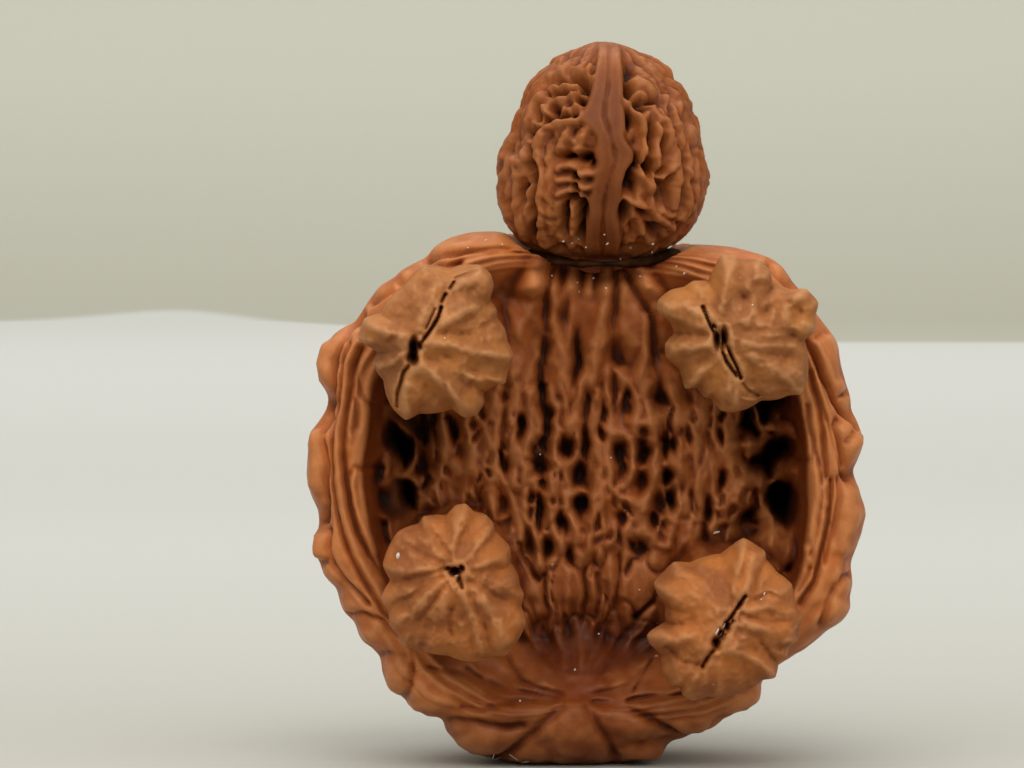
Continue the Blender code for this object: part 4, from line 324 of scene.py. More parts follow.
# Rounded cords and lobes of the flange: points, half width, height.
FLANGE_CORDS = [
    ([(360, 330), (350, 350), (347, 375), (344, 400), (340, 425), (338, 455), (339, 480), (344, 505),
      (350, 530), (360, 555), (372, 575), (386, 598)], 5.0, 0.7),
    ([(346, 342), (341, 365), (338, 390), (335, 412)], 3.6, 0.4),
    ([(356, 470), (353, 484), (358, 505), (366, 530), (378, 550)], 3.6, 0.5),
    ([(354, 402), (352, 420), (351, 436)], 3.0, 0.4),
    ([(318, 436), (317, 460), (317, 485)], 6.0, 0.5),
    ([(328, 350), (326, 365), (328, 380)], 7.0, 0.5),
    ([(321, 535), (322, 552)], 5.0, 0.5),
    ([(815, 380), (826, 410), (832, 440), (836, 470)], 3.4, 0.5),
    ([(812, 345), (824, 365), (834, 385)], 9.0, 0.6),
    ([(843, 430), (850, 442), (848, 458)], 9.0, 0.6),
    ([(846, 490), (848, 515), (842, 545)], 10.0, 0.6),
    ([(814, 470), (816, 495), (810, 520), (806, 545)], 6.0, 0.8),
    ([(824, 480), (823, 505), (818, 535), (810, 560)], 3.0, 0.5),
    ([(838, 560), (836, 590), (826, 615)], 8.0, 0.4),
]


def to_x(u):
    return (np.asarray(u, float) - SKETCH_X) / SKETCH


def to_z(v):
    return (SKETCH_Z - np.asarray(v, float)) / SKETCH


def smooth(low, high, value):
    t = np.clip((value - low) / (high - low), 0.0, 1.0)
    return t * t * (3.0 - 2.0 * t)


def bell(angle, middle, width):
    turn = (angle - middle + 180.0) % 360.0 - 180.0
    return np.exp(-((turn / width) ** 2))


def chance(a, b, c, seed):
    n = (a * 73856093) ^ (b * 19349663) ^ (c * 83492791) ^ (seed * 40503021)
    n = n & 0xFFFFFFFF
    n = ((n ^ (n >> 13)) * 1274126177) & 0xFFFFFFFF
    n = ((n ^ (n >> 15)) * 668265263) & 0xFFFFFFFF
    return ((n ^ (n >> 16)) & 0xFFFF) / 65535.0


def noise(x, y, z, seed):
    cell = [np.floor(c).astype(np.int64) for c in (x, y, z)]
    part = [c - i for c, i in zip((x, y, z), cell)]
    part = [f * f * (3.0 - 2.0 * f) for f in part]
    total = np.zeros_like(part[0])
    for corner in range(8):
        step = (corner & 1, corner >> 1 & 1, corner >> 2 & 1)
        weight = np.ones_like(total)
        for f, s in zip(part, step):
            weight = weight * (f if s else 1.0 - f)
        total += weight * chance(cell[0] + step[0], cell[1] + step[1], cell[2] + step[2], seed)
    return 2.0 * total - 1.0


def cells(u, v, seed, wrap=0):
    """Distances to the two nearest points of a jittered grid, and a draw for the nearest."""
    iu = np.floor(u).astype(np.int64)
    iv = np.floor(v).astype(np.int64)
    first = np.full(u.shape, 9.0)
    second = np.full(u.shape, 9.0)
    draw = np.zeros(u.shape)
    for du in (-1, 0, 1):
        for dv in (-1, 0, 1):
            cu = iu + du
            cv = iv + dv
            key = cu % wrap if wrap else cu
            pu = cu + 0.5 + 0.85 * (chance(key, cv, 1, seed) - 0.5)
            pv = cv + 0.5 + 0.85 * (chance(key, cv, 2, seed) - 0.5)
            far = np.hypot(u - pu, v - pv)
            near = far < first
            second = np.where(near, first, np.minimum(second, far))
            draw = np.where(near, chance(key, cv, 3, seed), draw)
            first = np.where(near, far, first)
    return first, second, draw


def to_line(x, z, points):
    """Distance in sketch units to a line drawn through sketch points, fading past its ends."""
    best = np.full(x.shape, 1e3)
    px = to_x([p[0] for p in points])
    pz = to_z([p[1] for p in points])
    for i in range(len(points) - 1):
        ex = px[i + 1] - px[i]
        ez = pz[i + 1] - pz[i]
        t = np.clip(((x - px[i]) * ex + (z - pz[i]) * ez) / (ex * ex + ez * ez), 0.0, 1.0)
        best = np.minimum(best, np.hypot(x - px[i] - t * ex, z - pz[i] - t * ez))
    return best * SKETCH


def raised(x, z, strokes, power=2.0):
    """Highest of the rounded ridges drawn by the strokes."""
    top = np.zeros(x.shape)
    for points, half, height in strokes:
        top = np.maximum(top, height * np.exp(-((to_line(x, z, points) / half) ** power)))
    return top


def blobs(x, z, rows, power=2.0):
    """Deepest of the oval hollows (or highest of the oval swellings) in rows."""
    top = np.zeros(x.shape)
    for u, v, half_u, half_v, height in rows:
        d = np.hypot((x - to_x(u)) * SKETCH / half_u, (z - to_z(v)) * SKETCH / half_v)
        bump = height * np.exp(-(d ** (2.0 * power)) * 0.7)
        top = np.where(np.abs(bump) > np.abs(top), bump, top)
    return top


def caves(x, z, rows):
    """Depth of the caves whose rims are given; their walls fall away over the given slope."""
    deep = np.zeros(x.shape)
    for rim, depth, slope in rows:
        px = to_x([p[0] for p in rim])
        pz = to_z([p[1] for p in rim])
        inside = np.zeros(x.shape, bool)
        for i in range(len(rim)):
            rise = pz[i - 1] - pz[i]
            at = px[i] + (z - pz[i]) * (px[i - 1] - px[i]) / (rise if rise else 1e-9)
            inside ^= ((pz[i] > z) != (pz[i - 1] > z)) & (x < at)
        edge = to_line(x, z, rim + rim[:1])
        deep = np.maximum(deep, depth * smooth(-1.5, slope, np.where(inside, edge, -edge)))
    return deep


def packed(x, z, rows):
    """Swellings packed side by side: how far from the middle, and how near to a neighbour."""
    first = np.full(x.shape, 9.0)
    second = np.full(x.shape, 9.0)
    for u, v, half_u, half_v in rows:
        far = np.hypot((x - to_x(u)) * SKETCH / half_u, (z - to_z(v)) * SKETCH / half_v)
        second = np.where(far < first, first, np.minimum(second, far))
        first = np.minimum(first, far)
    return first, second - first


def wander(x, z, amount, seed):
    """Lets drawn lines and rims waver a little, as grown ones do."""
    still = x * 0.0
    along = noise(x / 1.3, z / 1.9, still, seed) + 0.4 * noise(x / 0.5, z / 0.7, still, seed + 1)
    up = noise(x / 1.3, z / 1.9, still, seed + 2) + 0.4 * noise(x / 0.5, z / 0.7, still, seed + 3)
    return x + amount * along, z + amount * up


def ring(points, middle, blur):
    """Radius in millimetres as a function of the angle in degrees, rounded by blur degrees."""
    du = np.array([p[0] - middle[0] for p in points], float)
    dv = np.array([middle[1] - p[1] for p in points], float)
    angle = np.degrees(np.arctan2(dv, du)) % 360.0
    order = np.argsort(angle)
    grid = np.arange(0.0, 360.0, 0.5)
    radius = np.interp(grid, angle[order], (np.hypot(du, dv) / SKETCH)[order], period=360.0)
    reach = int(max(1, blur * 8))
    taps = np.arange(-reach, reach + 1)
    weight = np.exp(-((taps * 0.5 / max(blur, 0.01)) ** 2))
    weight /= weight.sum()
    soft = sum(w * np.roll(radius, t) for t, w in zip(taps, weight))
    return lambda a: np.interp(a % 360.0, grid, soft, period=360.0)


BODY_RIM = ring(BODY_OUTLINE, BODY_MIDDLE, 1.0)
BODY_RIM_SOFT = ring(BODY_OUTLINE, BODY_MIDDLE, 9.0)
BODY_RIM_LOBES = ring(BODY_OUTLINE, BODY_MIDDLE, 5.0)
BODY_RIM_MEAN = 24.0

# Lines finer than the mesh's grid are drawn wider and shallower, so that they stay smooth.
FINEST = 3.2
for strokes in (FLANGE_CREASES, BELLY_SLITS):
    for i, (points, half, height) in enumerate(strokes):
        strokes[i] = (points, max(half, FINEST), height * min(half / FINEST, 1.0) ** 0.5)


def foot_seats(x, z):
    """How much each point belongs to the flat seat of a foot, and that seat's depth."""
    share = np.zeros(x.shape)
    depth = np.zeros(x.shape)
    for u, v, seat in FOOT_SEATS.values():
        far = np.hypot(x - to_x(u), z - to_z(v))
        turn = np.arctan2(z - to_z(v), x - to_x(u))
        lumps = 0.55 * noise(2.4 * np.cos(turn), 2.4 * np.sin(turn), turn * 0.0, int(u))
        lumps += 0.35 * noise(6.5 * np.cos(turn), 6.5 * np.sin(turn), far / 1.2, int(v))
        own = 1.0 - smooth(FOOT_SEAT_RADIUS + 0.3, FOOT_SEAT_RADIUS + 2.0, far - np.clip(lumps, -0.3, 1.0))
        depth = np.where(own > share, seat, depth)
        share = np.maximum(share, own)
    return share, depth


def belly_depth(x, z, angle, inward):
    """Depth behind the flange of the recessed belly; inward is the way in from the lip."""
    middle = np.interp(z, [6, 12, 20, 30, 40, 46], to_x([574, 578, 585, 597, 602, 604]))
    levels = [5, 9, 12, 15, 20, 28, 38, 44, 47]
    width = np.interp(z, levels, [3.0, 6.0, 9.0, 12.0, 13.4, 14.2, 13.2, 12.0, 11.0])
    centre = np.interp(z, [5, 8, 11, 14, 20, 30, 38, 43, 47], [1.5, 5.2, 6.6, 5.8, 4.6, 3.8, 3.2, 2.6, 2.4])
    across = np.abs(x - middle) / width
    gutter = np.interp(z, [8, 14, 19, 33, 40, 46], [0.5, 1.5, 4.0, 4.0, 2.5, 1.5])
    mound = np.minimum(centre + gutter * across ** 3, 9.0)
    side = np.cos(np.radians(angle))
    slope = 0.95 + np.where(side > 0, 2.4, 0.9) * np.abs(side) ** 1.5
    wall = 0.45 + slope * np.maximum(inward, 0.0)
    blend = 0.9
    mix = np.clip(0.5 + 0.5 * (wall - mound) / blend, 0.0, 1.0)
    return wall + (mound - wall) * mix - blend * mix * (1.0 - mix), mix


def belly_relief(x, z, share):
    """Outward relief of the belly: net of plump strands and pits above, packed scales below."""
    scale_zone = 1.0 - smooth(to_z(568), to_z(546), z)
    calm = smooth(to_z(684), to_z(648), z)
    upper_calm = 1.0 - 0.8 * smooth(to_z(400), to_z(330), z)
    middle = np.interp(z, [6, 20, 46], [-0.5, 0.5, 2.1])
    spread = np.interp(z, [8, 15, 28, 46], [0.45, 0.75, 1.0, 0.8])
    u = (x - middle) / (1.5 * spread) + 0.35 * noise(x / 3.0, z / 5.0, x * 0.0, 21)
    v = z / 3.2 + 0.4 * noise(x / 2.0, z / 4.0, x * 0.0 + 3.0, 22)
    first, second, draw = cells(u, v, 31)
    net = smooth(0.0, 0.55, second - first)
    ribs = raised(x, z, BELLY_RIBS, 2.6)
    webs = raised(x, z, BELLY_WEBS, 2.6)
    ribs = np.log(np.exp(4.0 * ribs) + np.exp(4.0 * webs) - 1.0) / 4.0
    fine = 0.2 * noise(x / 0.8, z / 1.5, x * 0.0, 23) + 0.09 * noise(x / 0.35, z / 0.6, x * 0.0, 24)
    swell = 0.85 + 0.3 * noise(x / 1.4, z / 2.6, x * 0.0, 25)
    upper = ribs * swell - 0.35 * net * draw * upper_calm + fine * (0.5 + 0.5 * upper_calm)
    far, between = packed(x, z, BELLY_SCALES)
    streak = noise(x / 0.5, z / 2.2, x * 0.0, 26)
    scales = 0.36 * smooth(0.0, 0.5, between) * (1.0 - smooth(1.1, 1.8, far)) - 0.2
    scales = scales + 0.4 * np.clip(1.0 - far, 0.0, 1.0) + 0.12 * streak + fine * 0.4
    small_u = x / 0.95 + 0.35 * noise(x / 1.6, z / 2.4, x * 0.0, 32)
    small_v = z / 1.9 + 0.4 * noise(x / 1.2, z / 2.0, x * 0.0, 33)
    first, second, draw = cells(small_u, small_v, 34)
    middle_net = smooth(to_z(575), to_z(535), z) * (1.0 - smooth(to_z(420), to_z(370), z))
    upper = upper - 0.75 * middle_net * smooth(0.1, 0.65, second - first) * smooth(0.25, 0.9, draw)
    scales = scales * smooth(to_z(664), to_z(592), z)
    relief = upper * (1.0 - scale_zone) + scales * scale_zone
    uneven = 0.8 + 0.35 * noise(x / 0.9, z / 1.3, x * 0.0, 27)
    pits = blobs(x, z, BELLY_PITS, 1.4) * uneven
    relief = relief - np.maximum(pits, raised(x, z, BELLY_SLITS) * (0.6 + 0.6 * uneven - 0.35))
    rays = np.arctan2(x - to_x(573), z - to_z(706)) * 12.0
    reach = np.hypot(x - to_x(573), z - to_z(706))
    funnel = smooth(2.0, 4.5, reach) * (1.0 - smooth(8.5, 12.0, reach)) * share
    fan = noise(rays, reach / 4.0, rays * 0.0, 35) + 0.4 * noise(rays * 2.3, reach / 3.0, rays * 0.0, 36)
    return relief * share * calm + 0.5 * fan * funnel


def gutter_relief(x, z):
    """Knobs, webs, pockets and deep caves between the belly and the flange."""
    hollows = np.maximum(caves(x, z, GUTTER_CAVES), blobs(x, z, WALL_POCKETS, 1.2))
    return blobs(x, z, GUTTER_KNOBS, 1.2) * 0.8 + 0.15 * noise(x / 0.9, z / 1.1, x * 0.0, 28) - hollows


def carapace_relief(x, y, z):
    """Deep wavy ridges of the carapace, running from the base up over the back."""
    turn = np.arctan2(x - 0.7, y - 4.0)
    wave = noise(x / 6.0, y / 6.0, z / 6.0, 41)
    fine = noise(x / 2.6, y / 2.6, z / 2.6, 42)
    u = turn * 4.4 + 0.75 * wave + 0.1 * fine
    v = z / 9.5 + 0.5 * noise(x / 5.0, y / 5.0, z / 7.0, 43)
    first, second, draw = cells(u, v, 44)
    crease = 1.0 - smooth(0.0, 0.42, second - first)
    return 1.15 * (0.6 - crease) + 0.35 * (draw - 0.5)


def star_relief(x, z):
    grooves = raised(x, z, STAR_GROOVES) * (0.75 + 0.3 * noise(x / 1.6, z / 1.6, x * 0.0, 29))
    return blobs(x, z, STAR_LOBES, 1.0) * 0.9 - 0.85 * grooves + 0.12 * noise(x / 1.1, z / 0.8, x * 0.0, 30)


def body_points(way):
    """Places the unit directions of a sphere, front pole at -Y, on the body's surface."""
    polar = np.arccos(np.clip(-way[:, 1], -1.0, 1.0))
    turn = np.arctan2(way[:, 2], way[:, 0])
    angle = np.degrees(turn) % 360.0
    rim = BODY_RIM(angle)
    soft = BODY_RIM_SOFT(angle)
    base = bell(angle, BASE_ANGLE, 22.0)
    top = bell(angle, TOP_ANGLE, 38.0)
    crest = soft - CREST_IN - CREST_IN_BASE * base + 1.5 * top
    crest_y = 1.6 * bell(angle, TOP_ANGLE, 30.0)
    rim_y = RIM_DEPTH + RIM_DEPTH_BASE * bell(angle, 270.0, 38.0) + 1.2 * top

    inner = polar < CREST_ANGLE
    outer = polar > RIM_ANGLE
    share_in = np.sqrt((1.0 - np.cos(polar)) / (1.0 - math.cos(CREST_ANGLE)))
    a = np.clip((polar - CREST_ANGLE) / (RIM_ANGLE - CREST_ANGLE), 0.0, 1.0) * math.pi / 2
    b = np.clip((polar - RIM_ANGLE) / (math.pi - RIM_ANGLE), 0.0, 1.0) * math.pi / 2
    back_rim = rim + (BODY_RIM_MEAN - rim) * smooth(0.0, 1.1, b)
    radius = np.where(inner, crest * share_in, crest + (rim - crest) * np.sin(a))
    radius = np.where(outer, back_rim * np.cos(b) ** 0.92, radius)
    cos_t = np.cos(turn)
    sin_t = np.sin(turn)
    middle_x = to_x(BODY_MIDDLE[0])
    middle_z = to_z(BODY_MIDDLE[1])
    x = middle_x + radius * cos_t
    z = middle_z + radius * sin_t

    # Base depth: recessed belly, quarter round of the flange, dome of the carapace.
    cord = CORD_STEP * (1.0 - 0.8 * bell(angle, BASE_ANGLE, 30.0)) * (1.0 - 0.55 * top)
    lip = crest - 1.4 * cord
    depth, mound = belly_depth(x, z, angle, lip - radius)
    seam_in = smooth(-0.1, 0.6, lip - radius)
    front_y = crest_y + depth * seam_in + 0.25 * (1.0 - seam_in)
    lip_y = crest_y + 0.25 * smooth(0.0, 1.0, (crest - radius) / (1.4 * cord))
    front_y = np.where(radius > lip, lip_y, front_y)
    y = np.where(inner, front_y, crest_y + (rim_y - crest_y) * (1.0 - np.cos(a)))
    y = np.where(outer, rim_y + (BACK_DEPTH - rim_y) * np.sin(b), y)

    # Cords that follow the flange and run together at the base star, lobes outside them.
    wobble = 0.4 * noise(x / 6.0, y / 8.0, z / 6.0, 11) + 0.15 * noise(x / 2.2, y / 5.0, z / 2.2, 12)
    off = (radius - crest) / cord + wobble
    band = smooth(-1.9, -1.4, off) * (1.0 - smooth(1.2, 1.7, off)) * (a < 1.6)
    swell = 0.8 + 0.4 * noise(x / 4.0, y / 8.0, z / 4.0, 13)
    drawn = np.clip(bell(angle, 180.0, 62.0) + bell(angle, 0.0, 62.0), 0.0, 1.0)
    relief = band * np.cos(2.0 * math.pi * off) * CORD_HEIGHT * swell
    relief *= 1.0 - 0.75 * bell(angle, BASE_ANGLE, 34.0)
    relief *= 1.0 - 0.85 * drawn
    front_x, front_z = wander(x, z, 0.1, 71)
    facing = np.where(outer, 0.0, 1.0) * (1.0 - smooth(1.25, 1.55, a))
    relief += facing * (raised(front_x, front_z, FLANGE_CORDS) - raised(front_x, front_z, FLANGE_CREASES))
    relief += facing * 0.1 * noise(x / 0.9, y / 0.9, z / 0.9, 14)
    lobes = (rim - BODY_RIM_LOBES(angle)) * (1.0 - bell(angle, BASE_ANGLE, 40.0))
    relief += 0.9 * lobes * smooth(0.25, 0.7, a) * (1.0 - smooth(0.9, 1.5, a))

    # Belly, gutters and star, all in the front view.
    in_belly = smooth(0.6, 1.8, lip - radius)
    front = np.where(outer, 0.0, 1.0)
    neck = blobs(x, z, NECK_HOLLOW, 1.6)
    relief = relief * (1.0 - 0.8 * np.clip(neck / 2.0, 0.0, 1.0)) - front * neck
    relief += front * raised(x, z, NECK_FOLDS, 2.6) * smooth(to_z(304), to_z(284), z)
    belly_x, belly_z = wander(x, z, 0.2, 75)
    relief += inner * belly_relief(belly_x, belly_z, in_belly * (0.25 + 0.75 * mound))
    relief += inner * in_belly * gutter_relief(belly_x, belly_z)
    low = smooth(to_z(640), to_z(668), z)
    relief += front * star_relief(front_x, front_z) * low * (1.0 - smooth(1.1, 1.5, a))

    # Carapace, growing in behind the silhouette.
    back = smooth(0.02, 0.32, b)
    fan = 1.0 - 0.6 * (1.0 - smooth(3.0, 9.0, z))
    relief += outer * back * carapace_relief(x, y, z) * fan

    # Seats of the feet.
    share, seat = foot_seats(x, z)
    share = share * (1.0 - smooth(0.5, 1.1, a)) * front
    y = np.where(share > 0, y + (seat - y) * share, y)
    relief = relief * (1.0 - share)

    normal_x = np.where(inner, 0.0, np.where(outer, np.cos(b), np.sin(a))) * cos_t
    normal_z = np.where(inner, 0.0, np.where(outer, np.cos(b), np.sin(a))) * sin_t
    normal_y = np.where(inner, -1.0, np.where(outer, np.sin(b), -np.cos(a)))
    x = x + relief * normal_x
    y = y + relief * normal_y
    z = z + relief * normal_z

    # Pocket for the head, and the flat resting spot.
    far = np.hypot(x - to_x(HEAD_MIDDLE[0]), y - HEAD_Y)
    rise = np.interp(far, [4.8, 6.0, 7.0, 8.0, 9.2, 30.0], [0.0, 0.1, 0.6, 1.6, 3.6, 60.0])
    pocket = HEAD_SEAT_Z - SEAT_GAP + rise
    z = np.where(z > pocket, pocket, z)
    z = np.maximum(z, 0.0)
    return np.stack([x, y, z], axis=1)


# Rounds of smoothing that make up the surroundings over which a point's lift is read: fine, mid
# and broad. The body's grid is finer, so it takes more rounds for the same reach.
LIFT_ROUNDS = (4, 24, 160)
BODY_LIFT_ROUNDS = (6, 37, 249)


def walnut_mesh(name, cuts, halvings, rounds, place):
    """A cube cut into a fine grid in edit mode, then set on the nut's form point by point.

    One call makes 100 cuts at most, so a finer grid is cut first and then halved.
    """
    bpy.ops.object.select_all(action="DESELECT")
    bpy.ops.mesh.primitive_cube_add(size=2.0)
    piece = bpy.context.object
    piece.name = name
    piece.data.name = name
    bpy.ops.object.mode_set(mode="EDIT")
    bpy.ops.mesh.select_all(action="SELECT")
    bpy.ops.mesh.subdivide(number_cuts=cuts)
    for _ in range(halvings):
        bpy.ops.mesh.subdivide(number_cuts=1)
    bpy.ops.object.mode_set(mode="OBJECT")
    mesh = piece.data
    way = np.empty(len(mesh.vertices) * 3)
    mesh.vertices.foreach_get("co", way)
    way = np.tan(way.reshape(-1, 3) * math.pi / 4)
    way /= np.linalg.norm(way, axis=1)[:, None]
    spots = place(way) - np.array([0.0, REST_Y, 0.0])
    mesh.vertices.foreach_set("co", (spots * 0.001).ravel())
    mesh.update()
    bpy.ops.object.select_all(action="DESELECT")
    piece.select_set(True)
    bpy.context.view_layer.objects.active = piece
    bpy.ops.object.shade_smooth()
    for lift, count in zip(("lift_fine", "lift_mid", "lift_broad"), rounds):
        note_lift(mesh, lift, count)
    return piece


# Painted shade of the neck under the head, the funnel and the base star: middle in sketch units,
# half width and half height in millimetres, and how dark.
PAINTED_SHADE_SPOTS = [(600, 258, 6.5, 1.9, 1.6), (588, 640, 7.0, 4.4, 1.35), (575, 718, 11.0, 6.0, 1.05)]

# Painted shade that darkens the deep gutters beside the belly, the funnel under it and the upper
# left of the belly: middle, half width and half height of each in sketch units, and how dark.
CAVE_SHADES = [
    (400, 437, 25, 31, 2.1), (396, 500, 20, 26, 2.0), (385, 468, 12, 20, 1.8),
    (768, 400, 36, 34, 1.4), (786, 440, 22, 30, 1.0), (784, 508, 24, 28, 1.3), (744, 386, 22, 22, 1.2),
    (584, 652, 62, 42, 0.85), (638, 644, 34, 32, 0.85),
    (545, 335, 26, 62, 0.4), (520, 288, 24, 22, 0.4),
]


def note_recess(mesh):
    """Keeps the painted shade of the body's recess, gutters, neck, funnel and base star, and calms the
    creases of its smooth parts.
    """
    spots = np.empty(len(mesh.vertices) * 3)
    mesh.vertices.foreach_get("co", spots)
    x, y, z = spots.reshape(-1, 3).T * 1000.0
    behind = y + REST_Y
    in_front = y < 5.0
    out_x = x - to_x(BODY_MIDDLE[0])
    out_z = z - to_z(BODY_MIDDLE[1])
    lip = BODY_RIM_SOFT(np.degrees(np.arctan2(out_z, out_x))) - CREST_IN - 1.5
    past_lip = lip - np.hypot(out_x, out_z)

    # Painted shade of the belly, the inner wall of the flange, the neck, the funnel and the base star.
    deep = smooth(-1.2, 2.5, past_lip) * smooth(0.4, 3.6, behind) * (1.0 - smooth(13.0, 16.0, behind))
    deep *= 0.7 - 0.28 * smooth(5.0, 11.0, np.abs(x - to_x(600)))
    wall = np.exp(-(((past_lip - 1.2) / 1.7) ** 2)) * smooth(0.2, 1.3, behind) * in_front
    wall *= smooth(8.0, 16.0, z) * (1.0 - smooth(36.0, 42.0, z))
    deep = np.maximum(deep, 1.6 * wall)
    for u, v, wide, high, share in PAINTED_SHADE_SPOTS:
        far = np.hypot((x - to_x(u)) / wide, (z - to_z(v)) / high)
        deep = np.maximum(deep, share * (1.0 - smooth(0.5, 1.3, far)) * in_front)

    # Painted shade in a ring round each foot's seat, under the edge of the foot. Calmer creases on the
    # stumps under the feet, the packed scales, the upper belly and the flange.
    calm = np.zeros(x.shape)
    for u, v, seat in FOOT_SEATS.values():
        far = np.hypot(x - to_x(u), z - to_z(v))
        calm = np.maximum(calm, 1.0 - smooth(6.0, 9.5, far))
        stump = smooth(4.2, 5.0, far) * (1.0 - smooth(6.2, 7.6, far))
        stump *= smooth(-1.5, 0.0, past_lip - 1.2) * in_front
        deep = np.maximum(deep, 1.1 * stump * smooth(0.8, 2.2, behind))
    belly = (y < 3.0) * smooth(9.0, 4.0, np.abs(x - to_x(590)) - 4.0)
    calm = np.maximum(calm, 0.62 * belly * smooth(19.0, 15.5, z))
    calm = np.maximum(calm, 0.45 * belly * smooth(33.5, 37.5, z))
    calm = np.maximum(calm, 0.4 * smooth(-0.8, 0.8, -past_lip) * (behind < 7.0))
    cave = np.zeros(x.shape)
    for u, v, wide, high, dark in CAVE_SHADES:
        far = np.hypot((x - to_x(u)) * SKETCH / wide, (z - to_z(v)) * SKETCH / high)
        cave = np.maximum(cave, dark * (1.0 - smooth(0.45, 1.25, far)))
    cave = cave * (y < 8.0)

    kept = mesh.attributes.new("dark_part", "FLOAT", "POINT")
    kept.data.foreach_set("value", deep.astype(np.float32))
    # Calms lift_mid and lift_broad; in lift_broad the CAVE_SHADES areas also sink, which paints shade into
    # them through the skin's hollow colours.
    for name, sink in (("lift_mid", 0.0), ("lift_broad", 1.0)):
        lift = np.empty(len(mesh.vertices), np.float32)
        mesh.attributes[name].data.foreach_get("value", lift)
        lift = lift * (1.0 - 0.8 * calm) - sink * cave
        mesh.attributes[name].data.foreach_set("value", lift.astype(np.float32))


def note_lift(mesh, name, rounds):
    """Keeps how far each point stands above (+) or below (-) its surroundings, in millimetres."""
    count = len(mesh.vertices)
    spots = np.empty(count * 3)
    mesh.vertices.foreach_get("co", spots)
    spots = spots.reshape(-1, 3) * 1000.0
    ends = np.empty(len(mesh.edges) * 2, np.int64)
    mesh.edges.foreach_get("vertices", ends)
    first, second = ends.reshape(-1, 2).T
    degree = np.bincount(first, minlength=count) + np.bincount(second, minlength=count)
    calm = spots.copy()
    for _ in range(rounds):
        for axis in range(3):
            near = np.bincount(first, calm[second, axis], count)
            near += np.bincount(second, calm[first, axis], count)
            calm[:, axis] = 0.3 * calm[:, axis] + 0.7 * near / degree
    normals = np.empty(count * 3)
    mesh.vertex_normals.foreach_get("vector", normals)
    lift = np.einsum("ij,ij->i", spots - calm, normals.reshape(-1, 3))
    kept = mesh.attributes.new(name, "FLOAT", "POINT")
    kept.data.foreach_set("value", lift.astype(np.float32))


def link(tree, source, target):
    tree.links.new(source, target)


